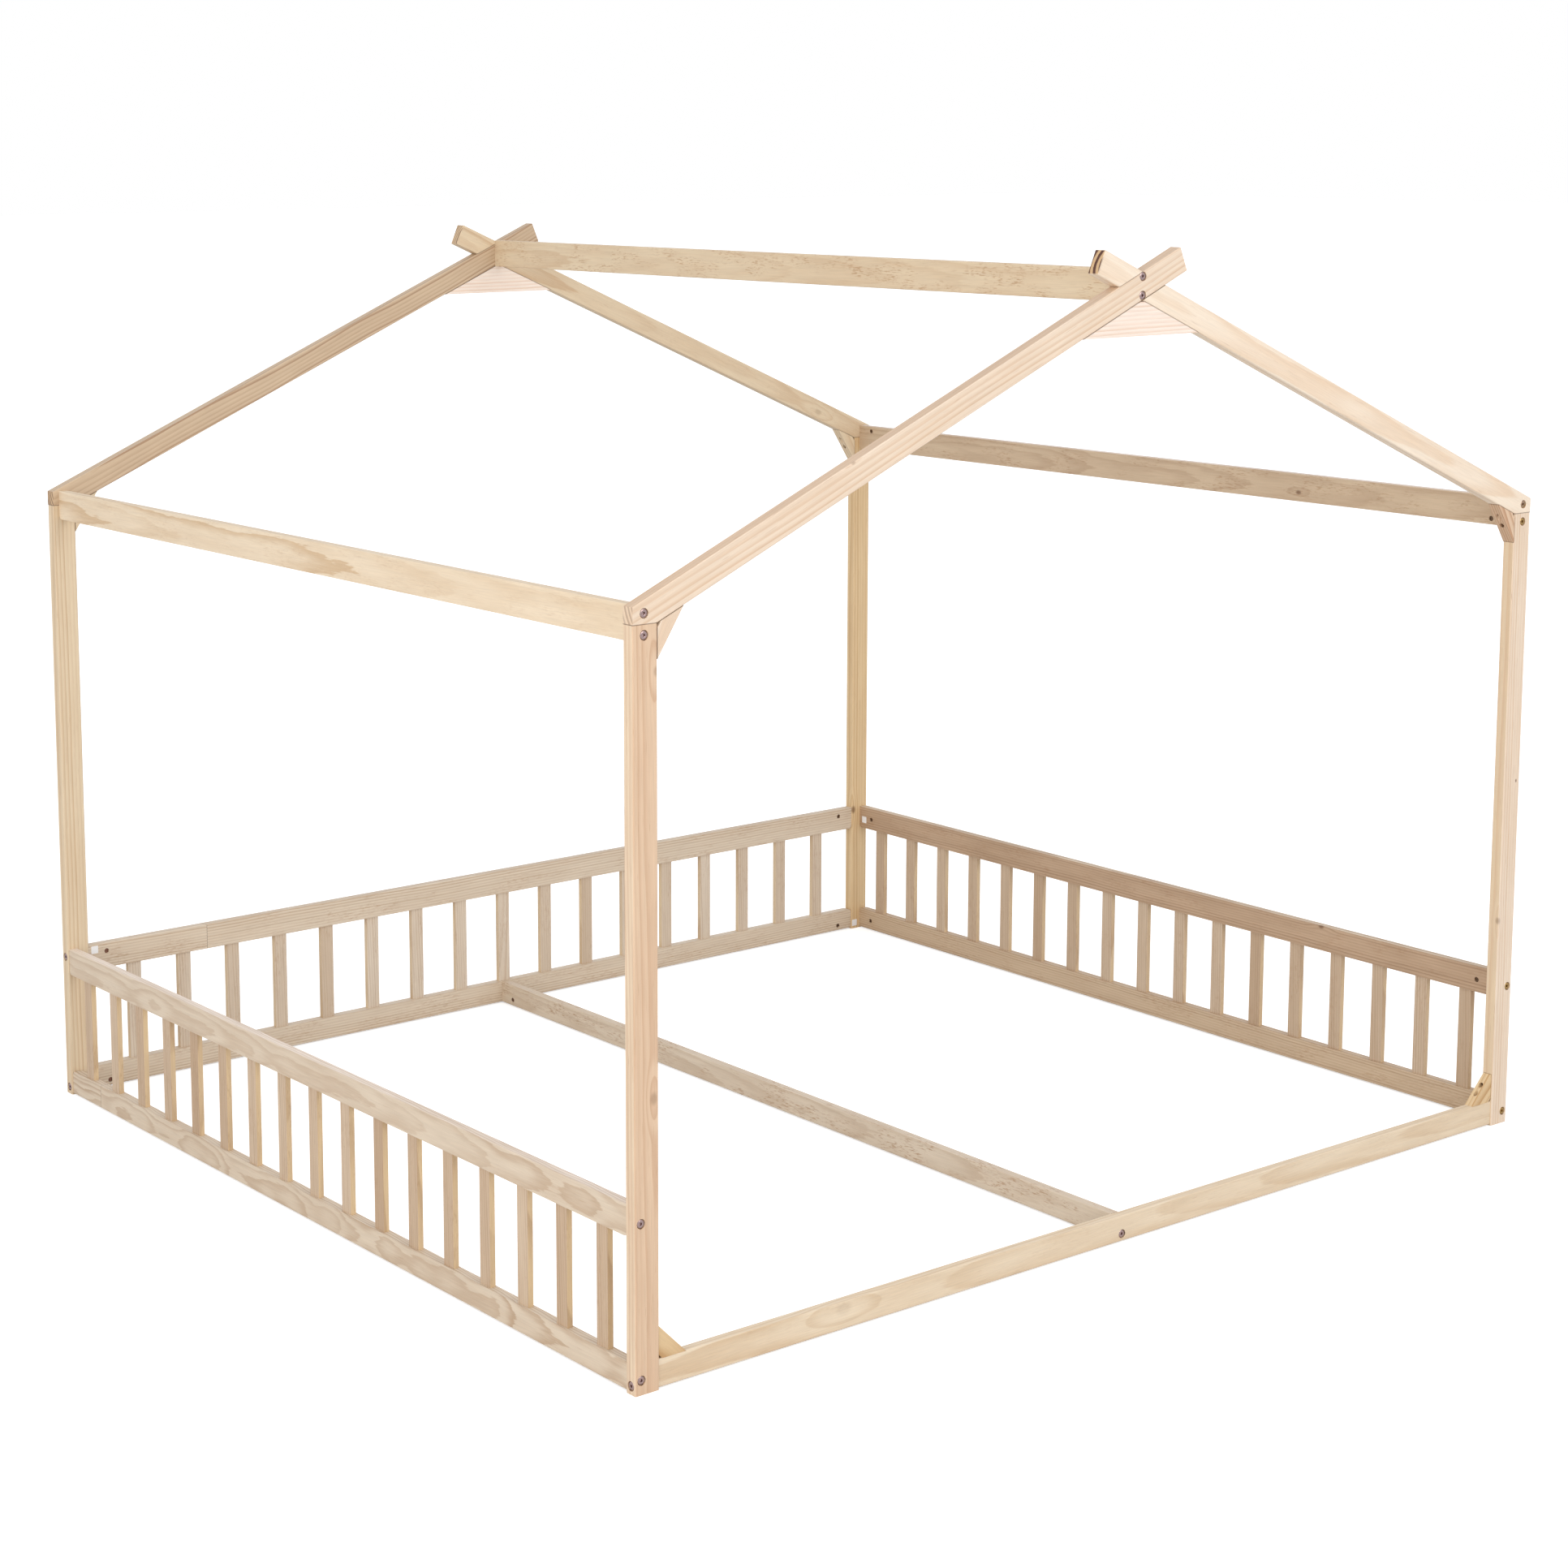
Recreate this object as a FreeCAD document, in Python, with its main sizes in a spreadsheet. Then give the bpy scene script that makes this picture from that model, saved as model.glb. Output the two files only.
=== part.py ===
import FreeCAD, Part
import os
import re
import Sketcher

# House frame bed in solid pine: four posts, two gables of half-lapped rafters joined by a ridge beam
# and two eave rails, and slatted guards on three sides of a mattress that lies on the floor.
#
# Millimetres. X runs along the open front gable, Y from the front to the back, Z up.
# The origin is on the floor in the middle of the bed.

SIZES = {
    # The whole bed
    "overall_width": 2080,
    "overall_length": 1845,
    "post_height": 1166,
    # Posts, with the narrow side along Y
    "post_width": 45,
    "post_thick": 23,
    "post_chamfer": 1.5,
    # Rafters. The overrun is how far the top of a tip reaches past the middle of the bed.
    "roof_pitch": 23.25,
    "rafter_depth": 42,
    "rafter_overrun": 87.5,
    "rafter_chamfer": 1.2,
    "lap_play": 0.15,
    # Rails. The corner is the large round at the ends of a rail's slatted edge.
    "rail_thick": 18,
    "rail_inset": 2.5,
    "rail_chamfer": 1.2,
    "rail_corner": 8,
    "floor_gap": 2.5,
    "low_rail_height": 45,
    "guard_top_bottom": 243,
    "guard_top_height": 50,
    "eave_rail_height": 54,
    "eave_rail_inset": 12,
    "ridge_height": 54,
    # Guard slats. A margin is from a rail's end to the middle of the first slat.
    "slat_width": 28,
    "slat_thick": 10,
    "slat_tenon": 12,
    "slat_count": 17,
    "side_slat_margin": 67.5,
    "back_slat_margin": 102.5,
    "mortise_play": 0.15,
    # Bolts and their barrel nuts. A bolt ends a little short of its barrel nut's far side.
    "bolt_radius": 3,
    "bolt_play": 0.5,
    "bolt_short": 0.5,
    "head_radius": 7.5,
    "head_play": 0.5,
    "head_thick": 3,
    "head_sink": 3.5,
    "nut_radius": 5,
    "nut_length": 12,
    "nut_sink": 2,
    "nut_inset": 40,
    "nut_play": 0.15,
    "thread_play": 0.1,
    # Where bolts and dowels lie, above the bottom of their rail
    "side_low_bolt_rise": 20.5,
    "side_top_bolt_rise": 24,
    "cross_low_bolt_rise": 11,
    "cross_top_bolt_rise": 33.5,
    "beam_bolt_rise": 12.5,
    "eave_bolt_gap": 32,
    "ridge_bolt_gap": 31,
    "beam_dowel_rise": 25.5,
    # Dowels. The bite is the length in the rail that the beam butts against.
    "dowel_radius": 4,
    "dowel_length": 30,
    "dowel_bite": 12,
    "dowel_play": 0.1,
    "dowel_end_play": 0.5,
    # Gussets
    "eave_gusset_drop": 53.5,
    "eave_gusset_reach": 48.5,
    "gusset_cut": 8,
    "low_gusset_leg": 53,
    "apex_gusset_drop": 58,
    "apex_gusset_flat": 6,
    # Screws. The seat is the wood left between a screw's head and the joint that it closes.
    "screw_radius": 2,
    "screw_play": 0.1,
    "screw_length": 35,
    "screw_seat": 10,
    "screw_head_radius": 4,
    "screw_head_thick": 2.5,
    "screw_head_play": 0.5,
    "eave_screw_rise": 33,
    "eave_screw_reach": 31.5,
    "low_screw_rise": 33,
    "low_screw_reach": 33,
    "apex_screw_reach": 60,
}

WORKED_OUT = {
    "half_width": "overall_width / 2",
    "half_length": "overall_length / 2",
    "slope": "tan(roof_pitch)",
    # Rails between the posts, and the beam between the front and back low rails
    "side_rail_length": "overall_length - 2 * post_thick",
    "cross_rail_length": "overall_width - 2 * post_width",
    "beam_length": "overall_length - 2 * rail_inset - 2 * rail_thick",
    # Middle lines of the rails, in from the outside of the bed
    "guard_line": "rail_inset + rail_thick / 2",
    "eave_line": "eave_rail_inset + rail_thick / 2",
    "gable_line": "post_thick / 2",
    # Slats
    "slat_length": "guard_top_bottom - floor_gap - low_rail_height + 2 * slat_tenon",
    "slat_bottom": "floor_gap + low_rail_height - slat_tenon",
    # A rafter, measured from its heel at the outer face of the post and from its seat on the post
    "heel_height": "rafter_depth / cos(roof_pitch) - post_width * slope",
    "tip_reach": "half_width + rafter_overrun",
    "tip_rise": "heel_height + tip_reach * slope",
    "notch_half": "rafter_depth / 2 + lap_play",
    "crotch_rise": "(half_width - post_width) * slope",
    "cross_rise": "crotch_rise + rafter_depth / cos(roof_pitch) / 2",
    "ridge_middle": "post_height + cross_rise",
    # Gussets
    "eave_gusset_tip": "eave_gusset_drop + eave_gusset_reach * slope",
    "apex_gusset_half": "apex_gusset_drop / slope",
    "apex_gusset_bottom": "post_height + crotch_rise - apex_gusset_drop",
    "low_rail_top": "floor_gap + low_rail_height",
    # Fasteners
    "bolt_reach": "nut_inset + nut_radius - bolt_short",
    "bolt_hole": "bolt_radius + bolt_play",
    "nut_hole": "nut_radius + nut_play",
    "dowel_hole": "dowel_radius + dowel_play",
    "dowel_stay": "dowel_length - dowel_bite",
    "screw_hole": "screw_radius + screw_play",
}

NOWHERE = ("0", "0", "0")
TURNS = {
    "+x": FreeCAD.Rotation(FreeCAD.Vector(0, 1, 0), 90),
    "-x": FreeCAD.Rotation(FreeCAD.Vector(0, 1, 0), -90),
    "+y": FreeCAD.Rotation(FreeCAD.Vector(1, 0, 0), -90),
    "-y": FreeCAD.Rotation(FreeCAD.Vector(1, 0, 0), 90),
    "+z": FreeCAD.Rotation(),
    "-z": FreeCAD.Rotation(FreeCAD.Vector(1, 0, 0), 180),
}
# Round pins and holes are drawn with flats. Both numbers are multiples of four, so that a pin and its
# hole have their flats in line whichever way they point.
PIN_FLATS = 8
RECESS_FLATS = 12
# Lengths under this count as nothing when edges are sorted.
TINY = 0.01
SIDES = {"left": -1, "right": 1}
ENDS = {"front": -1, "back": 1}

doc = FreeCAD.newDocument("house_frame_bed")
sheet = doc.addObject("Spreadsheet::Sheet", "Sizes")
for row, (name, value) in enumerate(SIZES.items(), start=1):
    sheet.set(f"A{row}", name)
    sheet.set(f"B{row}", str(value))
    sheet.setAlias(f"B{row}", name)
doc.recompute()

nodes = []


# Spells a rule out in the sheet's own cells.
def rule(text):
    def spell(match):
        word = match.group(0)
        if word in WORKED_OUT:
            return f"({rule(WORKED_OUT[word])})"
        if word in SIZES:
            return f"Sizes.{word}"
        return word
    return re.sub(r"[a-z_]+", spell, str(text))


def bind(item, **rules):
    for name, text in rules.items():
        item.setExpression(name, rule(text))


def locate(item, spot):
    for letter, text in zip("xyz", spot):
        item.setExpression(f"Placement.Base.{letter}", rule(text))


def towards(letter, sign):
    return ("+" if sign > 0 else "-") + letter


# A new sub-part. Its own axes are turned about Z, in degrees, and its own origin lies at the spot.
def new_node(label, spot=NOWHERE, turn=0):
    body = doc.addObject("PartDesign::Body", label)
    body.Label = label
    body.AllowCompound = True
    body.Placement = FreeCAD.Placement(FreeCAD.Vector(), FreeCAD.Rotation(FreeCAD.Vector(0, 0, 1), turn))
    locate(body, spot)
    nodes.append(body)
    return body


def origin_part(body, role):
    return next(item for item in body.Origin.OriginFeatures if item.Role == role)


def add_box(body, low, size):
    box = body.newObject("PartDesign::AdditiveBox", "Stock")
    bind(box, Length=size[0], Width=size[1], Height=size[2])
    locate(box, low)
    return box


def cut_box(body, low, size):
    box = body.newObject("PartDesign::SubtractiveBox", "Recess")
    bind(box, Length=size[0], Width=size[1], Height=size[2])
    locate(box, low)
    return box


def add_round(body, start, way, radius, length):
    pin = body.newObject("PartDesign::AdditivePrism", "Round")
    pin.Placement = FreeCAD.Placement(FreeCAD.Vector(), TURNS[way])
    pin.Polygon = PIN_FLATS
    bind(pin, Circumradius=radius, Height=length)
    locate(pin, start)


def cut_round(body, start, way, radius, depth, flats=PIN_FLATS):
    bore = body.newObject("PartDesign::SubtractivePrism", "Bore")
    bore.Placement = FreeCAD.Placement(FreeCAD.Vector(), TURNS[way])
    bore.Polygon = flats
    bind(bore, Circumradius=radius, Height=depth)
    locate(bore, start)


# A closed outline in the body's XZ plane, each corner set by two rules, padded evenly to both sides.
def add_outline(body, corners, thickness):
    sketch = body.newObject("Sketcher::SketchObject", "Outline")
    sketch.AttachmentSupport = [(origin_part(body, "XZ_Plane"), "")]
    sketch.MapMode = "FlatFace"
    count = len(corners)
    rough = [FreeCAD.Vector(100, 0, 0) for corner in corners]
    for number, point in enumerate(rough):
        rough[number] = FreeCAD.Rotation(FreeCAD.Vector(0, 0, 1), -360 * number / count).multVec(point)
    for number in range(count):
        sketch.addGeometry(Part.LineSegment(rough[number], rough[(number + 1) % count]))
    for number in range(count):
        sketch.addConstraint(Sketcher.Constraint("Coincident", number, 2, (number + 1) % count, 1))
    for number, corner in enumerate(corners):
        for kind, axis, text in (("DistanceX", -2, corner[0]), ("DistanceY", -1, corner[1])):
            if text == "0":
                sketch.addConstraint(Sketcher.Constraint("PointOnObject", number, 1, axis))
                continue
            place = sketch.addConstraint(Sketcher.Constraint(kind, -1, 1, number, 1, 50.0))
            sketch.renameConstraint(place, f"{kind}{number}")
            sketch.setExpression(f"Constraints.{kind}{number}", rule(text))
    pad = body.newObject("PartDesign::Pad", "Plate")
    pad.Profile = sketch
    pad.SideType = "Symmetric"
    bind(pad, Length=thickness)
    return pad


def pick_edges(feature, wanted):
    doc.recompute()
    edges = feature.Shape.Edges
    return [f"Edge{number}" for number, edge in enumerate(edges, start=1) if wanted(edge.BoundBox)]


# Both treat those edges of a feature that the test picks out by their bounding boxes.
def round_edges(body, feature, radius, wanted):
    picked = pick_edges(feature, wanted)
    rounding = body.newObject("PartDesign::Fillet", "Rounding")
    rounding.Base = (feature, picked)
    bind(rounding, Radius=radius)
    return rounding


def ease_edges(body, feature, size, wanted):
    picked = pick_edges(feature, wanted)
    chamfer = body.newObject("PartDesign::Chamfer", "Eased")
    chamfer.Base = (feature, picked)
    bind(chamfer, Size=size)
    return chamfer


def runs_along(box, letter):
    spans = {"X": box.XLength, "Y": box.YLength, "Z": box.ZLength}
    longest = spans.pop(letter)
    return longest > TINY and max(spans.values()) < TINY


# Repeats one feature, or all of the body so far, evenly over an extent.
def repeat(body, role, extent, count, feature=None):
    doc.recompute()
    pattern = body.newObject("PartDesign::LinearPattern", "Row")
    if feature is None:
        pattern.TransformMode = "Whole shape"
    else:
        pattern.Originals = [feature]
    pattern.Direction = (origin_part(body, role), [""])
    pattern.Mode = "Extent"
    bind(pattern, Length=extent, Occurrences=count)
    body.Tip = pattern


def mirror_all(body, *roles):
    for role in roles:
        doc.recompute()
        mirror = body.newObject("PartDesign::Mirrored", "Mirror")
        mirror.TransformMode = "Whole shape"
        mirror.MirrorPlane = (origin_part(body, role), [""])
        body.Tip = mirror


# A hole for a bolt, with the recess that its head sits in.
def bolt_hole(body, start, way, depth):
    cut_round(body, start, way, "head_radius + head_play", "head_sink", RECESS_FLATS)
    cut_round(body, start, way, "bolt_hole", depth)


# ---- Posts ----

def make_post(side_name, end_name):
    side = SIDES[side_name]
    end = ENDS[end_name]
    spot = (f"{side} * (half_width - post_width / 2)", f"{end} * (half_length - gable_line)", "0")
    body = new_node(f"post_{end_name}_{side_name}", spot)
    stock = add_box(
        body, ("-post_width / 2", "-post_thick / 2", "0"), ("post_width", "post_thick", "post_height"))
    ease_edges(body, stock, "post_chamfer", lambda box: runs_along(box, "Z"))

    # Bolts along Y into the side rails
    outer = f"{end} * post_thick / 2"
    guard_x = f"{side} * (post_width / 2 - guard_line)"
    eave_x = f"{side} * (post_width / 2 - eave_line)"
    side_bolts = (
        (guard_x, "floor_gap + side_low_bolt_rise"),
        (guard_x, "guard_top_bottom + side_top_bolt_rise"),
        (eave_x, "post_height - eave_bolt_gap / 2"),
    )
    for across, height in side_bolts:
        bolt_hole(body, (across, outer, height), towards("y", -end), "post_thick")

    # Bolts along X into the rails between the posts
    bolts = ["floor_gap + cross_low_bolt_rise"]
    if end_name == "back":
        bolts.append("guard_top_bottom + cross_top_bolt_rise")
    cross_y = f"{end} * (gable_line - guard_line)"
    for height in bolts:
        bolt_hole(body, (f"{side} * post_width / 2", cross_y, height), towards("x", -side), "post_width")

    # Gusset screws from the inner side
    screws = ["post_height - eave_gusset_drop + eave_screw_rise"]
    if end_name == "front":
        screws.append("low_rail_top + low_screw_rise")
    for height in screws:
        cut_round(
            body, (f"{-side} * post_width / 2", cross_y, height), towards("x", side),
            "screw_hole", "screw_length - screw_seat + screw_play")


# ---- Gables ----

# A rafter in its own frame: X from its heel towards the ridge, Z up from its seat on the post.
# The notch of the half lap is always on its +Y side, so one blank serves all four places.
def make_rafter(side_name, end_name):
    side = SIDES[side_name]
    end = ENDS[end_name]
    spot = (f"{side} * half_width", f"{end} * (half_length - gable_line)", "post_height")
    body = new_node(f"rafter_{end_name}_{side_name}", spot, 90 + 90 * side)
    blank = add_outline(
        body,
        [
            ("0", "0"),
            ("0", "heel_height"),
            ("tip_reach", "tip_rise"),
            ("tip_reach + rafter_depth * sin(roof_pitch)", "tip_rise - rafter_depth * cos(roof_pitch)"),
            ("post_width", "0"),
        ],
        "post_thick")
    ease_edges(body, blank, "rafter_chamfer", lambda box: box.XMax > SIZES["overall_width"] / 2)

    # The other rafter of the gable passes through this notch, half as deep as the timber
    notch = cut_box(
        body,
        (
            "half_width - 2 * rafter_depth * cos(roof_pitch) - notch_half * sin(roof_pitch)",
            "0",
            "cross_rise + 2 * rafter_depth * sin(roof_pitch) - notch_half * cos(roof_pitch)",
        ),
        ("4 * rafter_depth", "post_thick", "2 * notch_half"))
    notch.Placement = FreeCAD.Placement(FreeCAD.Vector(), FreeCAD.Rotation(FreeCAD.Vector(0, 1, 0), 1))
    notch.setExpression("Placement.Rotation.Angle", rule("roof_pitch"))

    # Bolt heads are on the outside of the gable
    out = -end * side
    outer = f"{out} * post_thick / 2"
    inwards = towards("y", -out)
    for step in (-1, 1):
        height = f"cross_rise + {step} * ridge_bolt_gap / 2"
        bolt_hole(body, ("half_width", outer, height), inwards, "post_thick")
    bolt_hole(body, ("eave_line", outer, "eave_bolt_gap / 2"), inwards, "post_thick")
    for across in ("post_width + eave_screw_reach", "half_width - apex_screw_reach"):
        cut_round(
            body, (across, "0", f"({across} - post_width) * slope - screw_seat"), "+z",
            "screw_hole", "screw_length + screw_play")


# ---- Gussets ----

def make_eave_gusset(side_name, end_name):
    side = SIDES[side_name]
    end = ENDS[end_name]
    spot = (
        f"{side} * (half_width - post_width)",
        f"{end} * (half_length - gable_line)",
        "post_height - eave_gusset_drop",
    )
    body = new_node(f"eave_gusset_{end_name}_{side_name}", spot, 90 + 90 * side)
    add_outline(
        body,
        [
            ("0", "0"),
            ("0", "eave_gusset_drop - gusset_cut"),
            ("gusset_cut", "eave_gusset_drop + gusset_cut * slope"),
            ("eave_gusset_reach", "eave_gusset_tip"),
        ],
        "post_thick")
    under_rafter = "eave_gusset_drop + eave_screw_reach * slope - screw_seat"
    screw_hole(body, ("screw_seat", "0", "eave_screw_rise"), "-x", "eave_gusset_reach")
    screw_hole(body, ("eave_screw_reach", "0", under_rafter), "+z", "eave_gusset_drop")


def make_low_gusset(side_name):
    side = SIDES[side_name]
    spot = (f"{side} * (half_width - post_width)", "-half_length + guard_line", "low_rail_top")
    body = new_node(f"low_gusset_{side_name}", spot, 90 + 90 * side)
    add_outline(
        body,
        [
            ("gusset_cut", "0"),
            ("0", "gusset_cut"),
            ("0", "low_gusset_leg"),
            ("low_gusset_leg", "0"),
        ],
        "rail_thick")
    screw_hole(body, ("screw_seat", "0", "low_screw_rise"), "-x", "low_gusset_leg")
    screw_hole(body, ("low_screw_reach", "0", "screw_seat"), "-z", "low_gusset_leg")


def make_apex_gusset(end_name):
    end = ENDS[end_name]
    spot = ("-apex_gusset_half", f"{end} * (half_length - gable_line)", "apex_gusset_bottom")
    body = new_node(f"apex_gusset_{end_name}", spot)
    top = "apex_gusset_drop - apex_gusset_flat * slope"
    add_outline(
        body,
        [
            ("0", "0"),
            ("apex_gusset_half - apex_gusset_flat", top),
            ("apex_gusset_half + apex_gusset_flat", top),
            ("2 * apex_gusset_half", "0"),
        ],
        "post_thick")
    for side in SIDES.values():
        screw_hole(
            body,
            (
                f"apex_gusset_half + {side} * apex_screw_reach",
                "0",
                "apex_gusset_drop - apex_screw_reach * slope - screw_seat",
            ),
            "+z", "apex_gusset_drop")


# A screw's hole from under its head onwards, and the wider way in behind it.
def screw_hole(body, head, way, way_in):
    back = ("-" if way[0] == "+" else "+") + way[1]
    cut_round(body, head, way, "screw_hole", "screw_length")
    cut_round(body, head, back, "screw_head_radius + screw_head_play", way_in)


# ---- Rails ----

# A rail in its own frame: X along it, its inner face on the -Y side, Z up from its bottom.
# Bolts and dowels enter both ends, and the barrel nuts' holes are open on the inner face.
# Where a rail has large round corners, only the two long edges away from them are eased.
def make_rail(label, spot, turn, length, height, bolts, dowels=(), corners=None):
    body = new_node(label, spot, turn)
    shape = add_box(body, (f"-({length}) / 2", "-rail_thick / 2", "0"), (length, "rail_thick", height))
    if corners is not None:
        shape = round_edges(
            body, shape, "rail_corner",
            lambda box: runs_along(box, "Y") and (box.ZMin > TINY) == (corners == "top"))
    ease_edges(
        body, shape, "rail_chamfer",
        lambda box: runs_along(box, "X") and (corners is None or (box.ZMin > TINY) != (corners == "top")))
    for end in (-1, 1):
        face = f"{end} * ({length}) / 2"
        for rise in bolts:
            cut_round(body, (face, "0", rise), towards("x", -end), "bolt_hole", "nut_inset")
            cut_round(
                body, (f"{end} * (({length}) / 2 - nut_inset)", "-rail_thick / 2", rise), "+y",
                "nut_hole", "nut_sink + nut_length + nut_play")
        for rise in dowels:
            cut_round(
                body, (face, "0", rise), towards("x", -end), "dowel_hole", "dowel_stay + dowel_end_play")
    return body


def cut_mortises(body, length, margin, bottom):
    first = cut_box(
        body,
        (
            f"-({length}) / 2 + {margin} - slat_width / 2 - mortise_play",
            "-slat_thick / 2 - mortise_play",
            bottom,
        ),
        ("slat_width + 2 * mortise_play", "slat_thick + 2 * mortise_play", "slat_tenon"))
    repeat(body, "X_Axis", f"{length} - 2 * {margin}", "slat_count", first)


def make_slats(label, across, along, turn, length, margin):
    body = new_node(label, (across, along, "slat_bottom"), turn)
    add_box(
        body,
        (f"-({length}) / 2 + {margin} - slat_width / 2", "-slat_thick / 2", "0"),
        ("slat_width", "slat_thick", "slat_length"))
    repeat(body, "X_Axis", f"{length} - 2 * {margin}", "slat_count")


def make_guard(name, across, along, turn, length, margin, kind):
    low = make_rail(
        f"{name}_guard_low_rail", (across, along, "floor_gap"), turn, length, "low_rail_height",
        [f"{kind}_low_bolt_rise"], corners="top")
    cut_mortises(low, length, margin, "low_rail_height - slat_tenon")
    if kind == "cross":
        cut_beam_seat(low, "y", 1)
    top = make_rail(
        f"{name}_guard_top_rail", (across, along, "guard_top_bottom"), turn, length, "guard_top_height",
        [f"{kind}_top_bolt_rise"], corners="bottom")
    cut_mortises(top, length, margin, "0")
    make_slats(f"{name}_guard_slats", across, along, turn, length, margin)


# The centre beam's bolt and dowel in the middle of a low rail. Outside is the rail's +Y side.
def cut_beam_seat(body, letter, outside):
    bolt_hole(
        body, ("0", f"{outside} * rail_thick / 2", "beam_bolt_rise"), towards(letter, -outside), "rail_thick")
    cut_round(
        body, ("0", f"{-outside} * rail_thick / 2", "beam_dowel_rise"), towards(letter, outside),
        "dowel_hole", "dowel_bite + dowel_end_play")


def make_rails():
    for name, side in SIDES.items():
        turn = -90 * side
        make_guard(
            name, f"{side} * (half_width - guard_line)", "0", turn,
            "side_rail_length", "side_slat_margin", "side")
        make_rail(
            f"eave_rail_{name}",
            (f"{side} * (half_width - eave_line)", "0", "post_height - eave_rail_height / 2"), turn,
            "side_rail_length", "eave_rail_height",
            ["eave_rail_height / 2 - eave_bolt_gap / 2", "eave_rail_height / 2 + eave_bolt_gap / 2"],
            corners="bottom")
    make_guard(
        "back", "0", "half_length - guard_line", 0, "cross_rail_length", "back_slat_margin", "cross")
    front = make_rail(
        "front_low_rail", ("0", "-half_length + guard_line", "floor_gap"), 180,
        "cross_rail_length", "low_rail_height", ["cross_low_bolt_rise"])
    cut_beam_seat(front, "y", 1)
    for side in SIDES.values():
        cut_round(
            front, (f"{side} * (cross_rail_length / 2 - low_screw_reach)", "0", "low_rail_height"), "-z",
            "screw_hole", "screw_length - screw_seat + screw_play")
    make_rail(
        "centre_beam", ("0", "0", "floor_gap"), -90, "beam_length", "low_rail_height",
        ["beam_bolt_rise"], ["beam_dowel_rise"])
    make_rail(
        "ridge_beam", ("0", "0", "ridge_middle - ridge_height / 2"), 90, "side_rail_length", "ridge_height",
        ["ridge_height / 2 - ridge_bolt_gap / 2", "ridge_height / 2 + ridge_bolt_gap / 2"])


# ---- Fasteners ----

# A bolt that clamps a rail's end: its head in the recess of the start face, its tail in the barrel nut.
def make_bolts(label, start, way, clamped):
    body = new_node(label)
    letter = "xyz".index(way[1])
    sign = 1 if way[0] == "+" else -1
    under_head = list(start)
    under_head[letter] = f"{start[letter]} + {sign} * head_sink"
    top = list(start)
    top[letter] = f"{start[letter]} + {sign} * (head_sink - head_thick)"
    add_round(body, top, way, "head_radius", "head_thick")
    add_round(body, under_head, way, "bolt_radius", f"{clamped} - head_sink + bolt_reach")
    return body


# A barrel nut lies in its cross hole and the bolt runs through its middle.
def make_nuts(label, start, way, bolt_way):
    body = new_node(label)
    add_round(body, start, way, "nut_radius", "nut_length")
    through = list(start)
    depth = "xyz".index(way[1])
    sign = 1 if way[0] == "+" else -1
    through[depth] = f"{start[depth]} + {sign} * (rail_thick / 2 - nut_sink)"
    along = "xyz".index(bolt_way[1])
    back = -1 if bolt_way[0] == "+" else 1
    through[along] = f"{start[along]} + {back} * nut_radius"
    cut_round(body, through, bolt_way, "bolt_radius + thread_play", "2 * nut_radius")
    return body


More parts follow.
